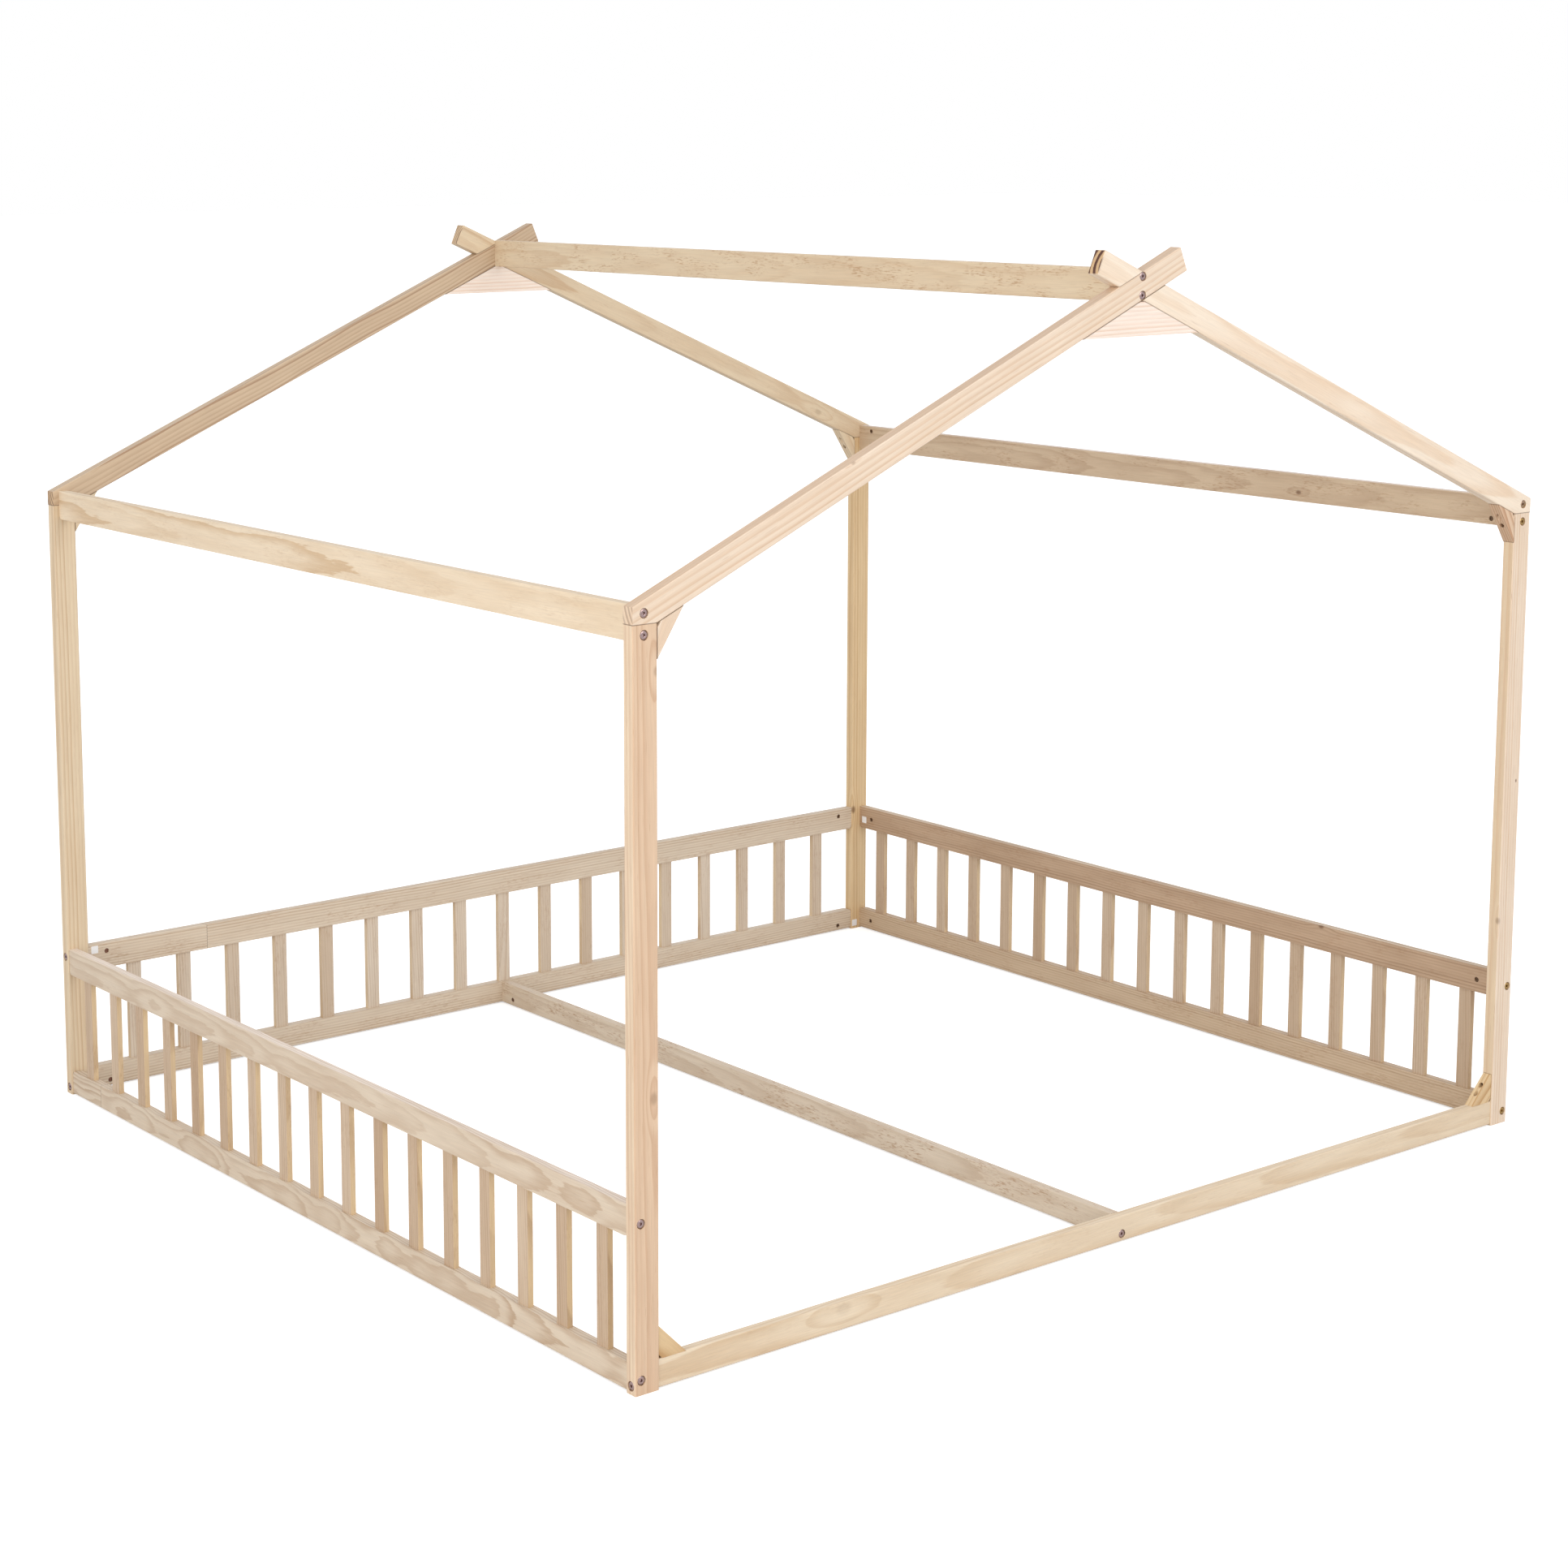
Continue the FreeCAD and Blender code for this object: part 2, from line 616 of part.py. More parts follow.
def make_fasteners():
    left = "-half_width + guard_line"
    left_inner = "-half_width + rail_inset + rail_thick"
    back = "half_length - guard_line"
    back_inner = "half_length - rail_inset - rail_thick"
    front = "-half_length + guard_line"
    front_inner = "-half_length + rail_inset + rail_thick"
    both = ("YZ_Plane", "XZ_Plane")

    # Side guards
    low = "floor_gap + side_low_bolt_rise"
    lift = "guard_top_bottom + side_top_bolt_rise - floor_gap - side_low_bolt_rise"
    body = make_bolts("guard_bolts", (left, "-half_length", low), "+y", "post_thick")
    repeat(body, "Z_Axis", lift, "2")
    mirror_all(body, *both)
    nut_y = "-half_length + post_thick + nut_inset"
    body = make_nuts("guard_barrel_nuts", (f"{left_inner} - nut_sink", nut_y, low), "-x", "+y")
    repeat(body, "Z_Axis", lift, "2")
    mirror_all(body, *both)

    # Eave rails
    eave_x = "-half_width + eave_line"
    low = "post_height - eave_bolt_gap / 2"
    body = make_bolts("eave_bolts", (eave_x, "-half_length", low), "+y", "post_thick")
    repeat(body, "Z_Axis", "eave_bolt_gap", "2")
    mirror_all(body, *both)
    inner_x = "-half_width + eave_rail_inset + rail_thick - nut_sink"
    body = make_nuts("eave_barrel_nuts", (inner_x, nut_y, low), "-x", "+y")
    repeat(body, "Z_Axis", "eave_bolt_gap", "2")
    mirror_all(body, *both)

    # Ridge beam, whose barrel nuts go in from the right
    low = "ridge_middle - ridge_bolt_gap / 2"
    body = make_bolts("ridge_bolts", ("0", "-half_length", low), "+y", "post_thick")
    repeat(body, "Z_Axis", "ridge_bolt_gap", "2")
    mirror_all(body, "XZ_Plane")
    body = make_nuts("ridge_barrel_nuts", ("rail_thick / 2 - nut_sink", nut_y, low), "-x", "+y")
    repeat(body, "Z_Axis", "ridge_bolt_gap", "2")
    mirror_all(body, "XZ_Plane")

    # Front low rail
    low = "floor_gap + cross_low_bolt_rise"
    nut_x = "-half_width + post_width + nut_inset"
    body = make_bolts("front_rail_bolts", ("-half_width", front, low), "+x", "post_width")
    mirror_all(body, "YZ_Plane")
    body = make_nuts("front_rail_barrel_nuts", (nut_x, f"{front_inner} - nut_sink", low), "-y", "+x")
    mirror_all(body, "YZ_Plane")

    # Back guard
    lift = "guard_top_bottom + cross_top_bolt_rise - floor_gap - cross_low_bolt_rise"
    body = make_bolts("back_rail_bolts", ("-half_width", back, low), "+x", "post_width")
    repeat(body, "Z_Axis", lift, "2")
    mirror_all(body, "YZ_Plane")
    body = make_nuts("back_rail_barrel_nuts", (nut_x, f"{back_inner} + nut_sink", low), "+y", "+x")
    repeat(body, "Z_Axis", lift, "2")
    mirror_all(body, "YZ_Plane")

    # Centre beam, whose barrel nuts go in from the left
    low = "floor_gap + beam_bolt_rise"
    body = make_bolts("beam_bolts", ("0", "-half_length + rail_inset", low), "+y", "rail_thick")
    mirror_all(body, "XZ_Plane")
    body = make_nuts(
        "beam_barrel_nuts", ("-rail_thick / 2 + nut_sink", f"{front_inner} + nut_inset", low), "+x", "+y")
    mirror_all(body, "XZ_Plane")
    body = new_node("beam_dowels")
    add_round(
        body, ("0", f"{front_inner} - dowel_bite", "floor_gap + beam_dowel_rise"), "+y",
        "dowel_radius", "dowel_length")
    mirror_all(body, "XZ_Plane")


# A screw from under its head onwards, with its head behind.
def add_screw(body, head, way):
    back = ("-" if way[0] == "+" else "+") + way[1]
    add_round(body, head, way, "screw_radius", "screw_length")
    add_round(body, head, back, "screw_head_radius", "screw_head_thick")


def make_screws():
    inner = "-half_width + post_width"
    gable_y = "-half_length + gable_line"
    front = "-half_length + guard_line"
    body = new_node("eave_gusset_screws")
    add_screw(
        body, (f"{inner} + screw_seat", gable_y, "post_height - eave_gusset_drop + eave_screw_rise"), "-x")
    add_screw(
        body,
        (f"{inner} + eave_screw_reach", gable_y, "post_height + eave_screw_reach * slope - screw_seat"), "+z")
    mirror_all(body, "YZ_Plane", "XZ_Plane")
    body = new_node("low_gusset_screws")
    add_screw(body, (f"{inner} + screw_seat", front, "low_rail_top + low_screw_rise"), "-x")
    add_screw(body, (f"{inner} + low_screw_reach", front, "low_rail_top + screw_seat"), "-z")
    mirror_all(body, "YZ_Plane")
    body = new_node("apex_gusset_screws")
    add_screw(
        body,
        ("-apex_screw_reach", gable_y, "post_height + crotch_rise - apex_screw_reach * slope - screw_seat"),
        "+z")
    mirror_all(body, "YZ_Plane", "XZ_Plane")


def build():
    for end_name in ENDS:
        for side_name in SIDES:
            make_post(side_name, end_name)
            make_rafter(side_name, end_name)
            make_eave_gusset(side_name, end_name)
        make_apex_gusset(end_name)
    for side_name in SIDES:
        make_low_gusset(side_name)
    make_rails()
    make_fasteners()
    make_screws()
    doc.recompute()


def check():
    for item in doc.Objects:
        if "Invalid" in item.State or "Error" in item.State:
            raise RuntimeError(f"{item.Name} of {item.Label} has the state {item.State}")
    for node in nodes:
        if node.Shape.isNull() or not node.Shape.isValid():
            raise RuntimeError(f"{node.Label} has no valid shape")


def export():
    os.makedirs("parts", exist_ok=True)
    for node in nodes:
        node.Shape.exportStep(f"parts/{node.Label}.step")
        print(node.Label, len(node.Shape.Solids), round(node.Shape.Volume))


build()
check()
export()
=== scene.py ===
import bpy
import bmesh
import functools
import math
from mathutils import Matrix, Vector


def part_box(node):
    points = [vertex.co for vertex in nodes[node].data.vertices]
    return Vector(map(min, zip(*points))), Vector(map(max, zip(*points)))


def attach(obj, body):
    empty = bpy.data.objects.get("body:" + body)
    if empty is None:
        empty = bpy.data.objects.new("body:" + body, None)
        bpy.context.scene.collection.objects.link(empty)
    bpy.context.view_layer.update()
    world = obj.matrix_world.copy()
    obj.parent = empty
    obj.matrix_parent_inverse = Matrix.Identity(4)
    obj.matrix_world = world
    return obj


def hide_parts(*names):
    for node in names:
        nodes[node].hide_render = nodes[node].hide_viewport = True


# House frame bed in clear-finished pine, standing on a plain pale floor. Metres, unless a note says mm.

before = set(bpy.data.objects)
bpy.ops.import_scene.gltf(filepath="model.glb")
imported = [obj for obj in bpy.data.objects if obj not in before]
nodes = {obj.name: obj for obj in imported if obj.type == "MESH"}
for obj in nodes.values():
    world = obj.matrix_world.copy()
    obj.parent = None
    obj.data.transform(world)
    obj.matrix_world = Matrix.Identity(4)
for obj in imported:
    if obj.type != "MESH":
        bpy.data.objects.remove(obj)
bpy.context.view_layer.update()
print("frame loaded:", len(nodes), "nodes")

mm = 0.001
crease = math.radians(35)  # edges sharper than this stay sharp
quarterSteps = 4           # flats on a quarter turn of a small rounded edge


# sRGB hex to the linear colour that shaders take
def toLinear(hexColour):
    parts = [int(hexColour[i:i + 2], 16) / 255 for i in (1, 3, 5)]
    linear = [c / 12.92 if c <= 0.04045 else ((c + 0.055) / 1.055) ** 2.4 for c in parts]
    return (*linear, 1.0)


def between(first, second, share):
    return tuple((1 - share) * a + share * b for a, b in zip(first, second))


# Adds one node with its settings. An input takes a value, another node's first output, or a socket.
# In a colour mix, input 0 is the share, 6 and 7 are the two colours, and output 2 is the result.
def addNode(tree, kind, inputs=(), **settings):
    node = tree.nodes.new(kind)
    for name, value in settings.items():
        setattr(node, name, value)
    for place, value in inputs.items() if isinstance(inputs, dict) else enumerate(inputs):
        if isinstance(value, bpy.types.Node):
            value = value.outputs[0]
        if isinstance(value, bpy.types.NodeSocket):
            tree.links.new(value, node.inputs[place])
        else:
            node.inputs[place].default_value = value
    return node


def newMaterial(name):
    material = bpy.data.materials.new(name)
    material.use_nodes = True
    material.node_tree.nodes.clear()
    return material


# Solid pine, planed, sanded and given a thin coat of clear matt lacquer: pale cream wood with tan
# latewood lines, short brown resin streaks, and a soft sheen that shows only at a low angle. Lengths
# are in mm, a size is across and along the grain, and a range is where something starts to show and
# where it shows in full.

pine = {
    "ior": 1.5,
    "roughness": 0.5,
    "roughnessSpread": 0.12,
    "bumpHeight": 0.15,           # how far sanding leaves the latewood proud
    "bumpStrength": 0.35,
    "fibreHeight": 0.35,          # share of the latewood's height
    "noiseRoughness": 0.55,
    "boardRun": 1.7,              # metres along the tree from one board's seed to the next
    "waveWidth": 150,
    "waveLength": 480,
    "raggedSize": (7, 60),
    "lateRise": (0.15, 0.9),      # in a year's ring, which runs from 0 to 1
    "lateCurve": 1.6,
    "lateEnd": 0.93,
    "yearDepth": (0.25, 0.8),     # of the latewood: the least, and what a year adds at most
    # how far a face turns towards a side's way before its tone of painted light or shade shows
    "paintedLightRange": (0.7, 0.9),
    "patchSize": (26, 190),
    "patchRange": (0.35, 0.68),
    "patchTone": 0.4,             # share of the latewood's colour
    "cloudSize": (30, 90),        # clouds of short brown dashes
    "cloudRange": (0.47, 0.6),
    "dashSize": (2.2, 13),
    "dashRange": (0.52, 0.64),
    "dashTone": 0.6,              # share of the resin's colour
    "resin": "#A5754A",
    "resinSize": (1.6, 40),
    "resinRange": (0.68, 0.78),
    "fibreSize": (1.8, 70),       # real fibres are far finer, and are drawn this wide so that they show
    "fibreRange": (0.3, 0.7),
    "fibreShade": (0.92, 1.02),
    "knot": "#6E4A2C",
    "knotSqueeze": (0.68, 0.35),  # along the grain, of the rings around a knot and of its eye
    "knotReach": (2.6, 0.4),      # of the bent rings, in sizes of the knot
    "knotPush": 0.8,
    "knotEdge": (1.0, 0.3),
    "endEarly": "#CDAA7E",
    "endLate": "#57321F",
    "endShare": 0.7,
    "endRange": (0.6, 0.9),
    "endRings": (0.06, 0.28),
    "fingerPitch": 4,             # the zigzag of a finger joint
    "fingerReach": 5,
    "glueLine": 0.5,              # half of the line that a finger joint shows
    # Painted shade: a dark line where two flush timbers meet, for the shadow in the hairline gap between
    # them
    "seamShade": "#4A2E1A",
    "seamShadeShare": 0.6,
    "seamShadeWidth": 0.8,             # half of the line of painted shade where two flush timbers meet
    "plankSpread": 50,            # between the hearts of the planks that a row of slats comes from
    "plankRun": 3.0,              # metres between those planks, along the tree
    "plankPale": 0.08,            # share of white in the palest of them
    "plankDeep": 0.45,            # share of the latewood's colour in the darkest
}

# How a board was sawn, in mm, degrees and shares of one. ring is the spacing of the growth rings, pith
# how far off the heart of the tree lies, lean the run-out of the grain, wave the slow bends of the
# rings, ragged how broken their edges are. contrast, blotch, flecks and resin say how strongly the
# latewood, the patches, the brown dashes and the streaks show. A board may also have a waveLength and an
# endShare of its own.
cuts = {
    "straight": dict(ring=8, pith=(70, 26), lean=(0.3, 0.4), wave=5, ragged=0.4, contrast=0.55,
                     blotch=0.4, flecks=0.0, resin=0.35),
    "curved": dict(ring=9, pith=(34, 36), lean=(0.8, 1.1), wave=14, ragged=0.5, contrast=0.6,
                   blotch=0.4, flecks=0.0, resin=0.25),
    "flat": dict(ring=5.5, pith=(6, 78), lean=(0.5, 1.2), wave=12, ragged=2.2, contrast=0.5,
                 blotch=0.5, flecks=0.7, resin=0.25),
    "fine": dict(ring=5, pith=(95, 60), lean=(0.2, 0.3), wave=6, ragged=0.8, contrast=0.6,
                 blotch=0.35, flecks=0.4, resin=0.4),
    "slat": dict(ring=6, pith=(30, 30), lean=(1.0, 1.4), wave=9, ragged=0.6, contrast=0.5,
                 blotch=0.4, flecks=0.3, resin=0.35),
    "block": dict(ring=8, pith=(8, 60), lean=(1.0, 2.0), wave=8, ragged=0.3, contrast=0.5,
                  blotch=0.2, flecks=0.0, resin=0.1),
}

# Earlywood and latewood of the planks that the bed is made of
tones = {
    "cream": ("#EBD8C0", "#CFA67A"),
    "blush": ("#F7E8D8", "#DDB28C"),
    "milk": ("#F3E3CC", "#DAB387"),
    "ivory": ("#E8D6B9", "#BF9865"),
    "pinkish": ("#DFC2A2", "#B98A64"),
    "straw": ("#DFCBAA", "#BC9468"),
    "honey": ("#E0C497", "#B98A52"),
    "sand": ("#DBCBB3", "#B1916F"),
    "tan": ("#D0B898", "#A07C5C"),
    "umber": ("#C4A687", "#937252"),
}

rise = math.radians(23.25)  # of the roof
grainWays = {
    "alongX": Vector((1, 0, 0)),
    "alongY": Vector((0, 1, 0)),
    "upright": Vector((0, 0, 1)),
    "upRight": Vector((math.cos(rise), 0, math.sin(rise))),
    "upLeft": Vector((-math.cos(rise), 0, math.sin(rise))),
    "braceRight": Vector((0.5, 0, 0.86)),
    "braceLeft": Vector((-0.5, 0, 0.86)),
    "footRight": Vector((0.7, 0, 0.7)),
    "footLeft": Vector((-0.7, 0, 0.7)),
}


# The distance of a point from the origin along a direction, less a start
def addReach(node, spots, direction, start=0.0):
    reach = node("ShaderNodeVectorMath", (spots, tuple(direction)), operation="DOT_PRODUCT")
    return node("ShaderNodeMath", (reach.outputs["Value"], start), operation="SUBTRACT")


# Noise with its grain along the board. The shift keeps one use of it from following another.
def addGrainNoise(node, point, size, detail, shift):
    across, along = size
    scale = (1 / (across * mm), 1 / (across * mm), 1 / (along * mm))
    place = node("ShaderNodeVectorMath", (point, scale, (shift,) * 3), operation="MULTIPLY_ADD")
    return node("ShaderNodeTexNoise", {"Vector": place, "Scale": 1.0, "Detail": detail,
                                       "Roughness": pine["noiseRoughness"]})


# Fingers show on a board's edges as a zigzag, and on its broad faces as a straight line
def addFingerJoint(node, spots, point, grain, joint):
    zigzag = node("ShaderNodeMath", (addReach(node, spots, joint["across"]), pine["fingerPitch"] * mm / 2),
                  operation="PINGPONG")
    reach = node("ShaderNodeMath", (zigzag, 2 * pine["fingerReach"] / pine["fingerPitch"]),
                 operation="MULTIPLY")
    past = node("ShaderNodeMath", (addReach(node, spots, grain, joint["at"]), reach), operation="SUBTRACT")
    beyond = node("ShaderNodeMath", (past, 0.0), operation="GREATER_THAN")
    jump = node("ShaderNodeVectorMath", {0: joint["jump"], "Scale": beyond}, operation="SCALE")
    moved = node("ShaderNodeVectorMath", (point, jump), operation="ADD")
    distance = node("ShaderNodeMath", (past,), operation="ABSOLUTE")
    return moved, node("ShaderNodeMath", (distance, pine["glueLine"] * mm), operation="LESS_THAN")


# A knot pushes the rings aside, mostly along the grain, and leaves a dark eye
def addKnot(node, spots, grain, radius, knot):
    size = knot["size"] * mm
    away = node("ShaderNodeVectorMath", (spots, knot["at"]), operation="SUBTRACT")
    along = node("ShaderNodeVectorMath", (away, tuple(grain)), operation="DOT_PRODUCT").outputs["Value"]
    nearness = []
    for squeeze in pine["knotSqueeze"]:
        shift = node("ShaderNodeVectorMath", {0: tuple(-squeeze * grain), "Scale": along}, operation="SCALE")
        reach = node("ShaderNodeVectorMath", (away, shift), operation="ADD")
        reach = node("ShaderNodeVectorMath", (reach,), operation="LENGTH").outputs["Value"]
        nearness.append(node("ShaderNodeMath", (reach, size), operation="DIVIDE"))
    push = node("ShaderNodeMapRange", (nearness[0], *pine["knotReach"], 0.0, 1.0),
                interpolation_type="SMOOTHSTEP")
    moved = node("ShaderNodeMath", (push, -pine["knotPush"] * size, radius), operation="MULTIPLY_ADD")
    eyeMask = node("ShaderNodeMapRange", (nearness[1], *pine["knotEdge"], 0.0, knot["dark"]),
                   interpolation_type="SMOOTHSTEP")
    return moved, eyeMask


# The wood of one board around its centre, or of a row of slats from different planks
def pineMaterial(name, way, centre, cut, tone, seed, knots=(), joints=(), shadedSeams=(), sides=(), row=None,
                 **changes):
    look = {"waveLength": pine["waveLength"], "endShare": pine["endShare"], **cuts[cut], **changes}
    material = newMaterial(name)
    node = functools.partial(addNode, material.node_tree)
    grain = grainWays[way].normalized()
    lean = (Matrix.Rotation(math.radians(look["lean"][0]), 3, "Y")
            @ Matrix.Rotation(math.radians(look["lean"][1]), 3, "X"))
    thick = Vector((1, 0, 0)) if grain.y else Vector((0, 1, 0))  # square to the board's broad faces
    aim = lean @ Matrix((thick.cross(grain), thick, grain))
    pith = Vector((look["pith"][0] * mm, look["pith"][1] * mm, seed * pine["boardRun"]))

    place = node("ShaderNodeTexCoord")
    spots = place.outputs["Object"]
    point = node("ShaderNodeMapping", {"Vector": spots, "Location": pith - aim @ centre,
                                       "Rotation": aim.to_euler()})

    early, late = (toLinear(colour) for colour in tones[tone])
    wood = early
    if row is not None:  # each slat comes from another plank
        step = node("ShaderNodeMath", (addReach(node, spots, grainWays[row["way"]], row["start"]),
                                       row["pitch"]), operation="DIVIDE")
        step = node("ShaderNodeMath", (step,), operation="FLOOR")
        step = node("ShaderNodeMath", (step, seed), operation="ADD")
        chance = node("ShaderNodeTexWhiteNoise", {"W": step}, noise_dimensions="1D")
        spread = pine["plankSpread"] * mm
        jump = node("ShaderNodeVectorMath", (chance.outputs["Color"], (spread, spread, pine["plankRun"]),
                                             (-spread / 2, -spread / 2, 0.0)), operation="MULTIPLY_ADD")
        point = node("ShaderNodeVectorMath", (point, jump), operation="ADD")
        wood = node("ShaderNodeMix", {0: chance.outputs["Value"],
                                      6: between(early, (1, 1, 1, 1), pine["plankPale"]),
                                      7: between(early, late, pine["plankDeep"])},
                    data_type="RGBA").outputs[2]
    dark = None
    for joint in joints:
        point, line = addFingerJoint(node, spots, point, grain, joint)
        dark = line if dark is None else node("ShaderNodeMath", (dark, line), operation="MAXIMUM")

    # Growth rings
    flat = node("ShaderNodeVectorMath", (point, (1, 1, 0)), operation="MULTIPLY")
    radius = node("ShaderNodeVectorMath", (flat,), operation="LENGTH").outputs["Value"]
    for size, detail, reach in (((pine["waveWidth"], look["waveLength"]), 1.0, look["wave"]),
                                (pine["raggedSize"], 3.0, look["ragged"])):
        bend = addGrainNoise(node, point, size, detail, 7.0)
        bend = node("ShaderNodeMath", (bend, 0.5), operation="SUBTRACT")
        radius = node("ShaderNodeMath", (bend, 2 * reach * mm, radius), operation="MULTIPLY_ADD")
    eyes = None
    for knot in knots:
        radius, eye = addKnot(node, spots, grain, radius, knot)
        eyes = eye if eyes is None else node("ShaderNodeMath", (eyes, eye), operation="MAXIMUM")
    turns = node("ShaderNodeMath", (radius, look["ring"] * mm), operation="DIVIDE")
    within = node("ShaderNodeMath", (turns,), operation="FRACT")
    swell = node("ShaderNodeMapRange", (within, *pine["lateRise"], 0.0, 1.0),
                 interpolation_type="SMOOTHSTEP")
    swell = node("ShaderNodeMath", (swell, pine["lateCurve"]), operation="POWER")
    drop = node("ShaderNodeMapRange", (within, pine["lateEnd"], 1.0, 1.0, 0.0))
    year = node("ShaderNodeMath", (turns,), operation="FLOOR")
    year = node("ShaderNodeMath", (year, seed + 0.5), operation="ADD")
    year = node("ShaderNodeTexWhiteNoise", {"W": year}, noise_dimensions="1D").outputs["Value"]
    least, more = pine["yearDepth"]
    year = node("ShaderNodeMath", (year, more, least), operation="MULTIPLY_ADD")
    latewood = node("ShaderNodeMath", (swell, drop), operation="MULTIPLY")
    latewood = node("ShaderNodeMath", (latewood, year), operation="MULTIPLY")

    # Sides in another tone, painted light and shade for how light falls on faces turned that way, then
    # patches of another tone, then the rings
    # Painted light and shade: faces that turn one way are lighter or darker, as the lamps fall on them
    for facing, other, share in sides:
        turned = node("ShaderNodeVectorMath", (place.outputs["Normal"], facing), operation="DOT_PRODUCT")
        turned = node("ShaderNodeMapRange", (turned.outputs["Value"], *pine["paintedLightRange"], 0.0, share))
        wood = node("ShaderNodeMix", {0: turned, 6: wood, 7: toLinear(tones[other][0])},
                    data_type="RGBA").outputs[2]
    patches = addGrainNoise(node, point, pine["patchSize"], 2.0, 3.0)
    patches = node("ShaderNodeMapRange", (patches, *pine["patchRange"], 0.0, look["blotch"]))
    wood = node("ShaderNodeMix", {0: patches, 6: wood, 7: between(early, late, pine["patchTone"])},
                data_type="RGBA").outputs[2]
    share = node("ShaderNodeMath", (latewood, look["contrast"]), operation="MULTIPLY")
    wood = node("ShaderNodeMix", {0: share, 6: wood, 7: late}, data_type="RGBA").outputs[2]

    # Short brown dashes in clouds, as a saw leaves them where it runs along a ring
    resin = toLinear(pine["resin"])
    if look["flecks"]:
        clouds = addGrainNoise(node, point, pine["cloudSize"], 2.0, 11.0)
        clouds = node("ShaderNodeMapRange", (clouds, *pine["cloudRange"], 0.0, look["flecks"]))
        dashes = addGrainNoise(node, point, pine["dashSize"], 3.0, 5.0)
        dashes = node("ShaderNodeMapRange", (dashes, *pine["dashRange"], 0.0, 1.0))
        share = node("ShaderNodeMath", (clouds, dashes), operation="MULTIPLY")
        wood = node("ShaderNodeMix", {0: share, 6: wood, 7: between(late, resin, pine["dashTone"])},
                    data_type="RGBA").outputs[2]
    streaks = addGrainNoise(node, point, pine["resinSize"], 1.0, 1.0)
    streaks = node("ShaderNodeMapRange", (streaks, *pine["resinRange"], 0.0, look["resin"]))
    wood = node("ShaderNodeMix", {0: streaks, 6: wood, 7: resin}, data_type="RGBA").outputs[2]
    fibre = addGrainNoise(node, point, pine["fibreSize"], 3.0, 2.0)
    shade = node("ShaderNodeMapRange", (fibre, *pine["fibreRange"], *pine["fibreShade"]))
    wood = node("ShaderNodeVectorMath", {0: wood, "Scale": shade}, operation="SCALE")
    if eyes is not None:
        wood = node("ShaderNodeMix", {0: eyes, 6: wood, 7: toLinear(pine["knot"])},
                    data_type="RGBA").outputs[2]

    # Cut across the fibres, the wood is darker and its rings stand out
    across = node("ShaderNodeVectorMath", (place.outputs["Normal"], tuple(grain)), operation="DOT_PRODUCT")
    across = node("ShaderNodeMath", (across.outputs["Value"],), operation="ABSOLUTE")
    cutAcross = node("ShaderNodeMapRange", (across, *pine["endRange"], 0.0, look["endShare"]))
    endRings = node("ShaderNodeMapRange", (latewood, *pine["endRings"], 0.0, 1.0))
    ends = node("ShaderNodeMix", {0: endRings, 6: toLinear(pine["endEarly"]), 7: toLinear(pine["endLate"])},
                data_type="RGBA").outputs[2]
    wood = node("ShaderNodeMix", {0: cutAcross, 6: wood, 7: ends}, data_type="RGBA").outputs[2]

    # Painted shade: a dark line along each seam plane, for the shadow in the hairline gap where two flush
    # timbers meet. The finger joints' glue lines are mixed in with it.
    for normal, distance in shadedSeams:
        line = node("ShaderNodeMath", (addReach(node, spots, normal, distance),), operation="ABSOLUTE")
        line = node("ShaderNodeMath", (line, pine["seamShadeWidth"] * mm), operation="LESS_THAN")
        dark = line if dark is None else node("ShaderNodeMath", (dark, line), operation="MAXIMUM")
    if dark is not None:
        dark = node("ShaderNodeMath", (dark, pine["seamShadeShare"]), operation="MULTIPLY")
        wood = node("ShaderNodeMix", {0: dark, 6: wood, 7: toLinear(pine["seamShade"])},
                    data_type="RGBA").outputs[2]

    height = node("ShaderNodeMath", (fibre, pine["fibreHeight"], latewood), operation="MULTIPLY_ADD")
    bump = node("ShaderNodeBump", {"Strength": pine["bumpStrength"], "Distance": pine["bumpHeight"] * mm,
                                   "Height": height})
    rough = node("ShaderNodeMath", (fibre, pine["roughnessSpread"], pine["roughness"]),
                 operation="MULTIPLY_ADD")
    shader = node("ShaderNodeBsdfPrincipled", {"Base Color": wood, "Roughness": rough, "Normal": bump,
                                               "IOR": pine["ior"]})
    node("ShaderNodeOutputMaterial", {"Surface": shader})
    return material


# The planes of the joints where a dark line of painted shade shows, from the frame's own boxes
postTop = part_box("post_front_left")[1].z
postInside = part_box("post_front_right")[0].x
seat = Vector((0, 0, 1))
underLeft = Vector((-math.sin(rise), 0, math.cos(rise)))  # square to a rafter that rises to the right
underRight = Vector((math.sin(rise), 0, math.cos(rise)))
crossing = Vector((0, 0, (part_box("ridge_beam")[0].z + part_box("ridge_beam")[1].z) / 2))
rafterHalf = 21 * mm

# A rafter's underside passes through the inner edge of its post's top
underLeftAt = underLeft.dot(Vector((-postInside, 0, postTop)))
underRightAt = underRight.dot(Vector((postInside, 0, postTop)))
topShadedSeam = [(seat, postTop)]
leftBlockShadedSeams = [(Vector((1, 0, 0)), -postInside), (underLeft, underLeftAt)]
rightBlockShadedSeams = [(Vector((1, 0, 0)), postInside), (underRight, underRightAt)]
apexShadedSeams = [(underLeft, underLeftAt), (underRight, underRightAt)]
lapShadedSeams = [(underLeft, underLeft.dot(crossing) + reach) for reach in (-rafterHalf, rafterHalf)]

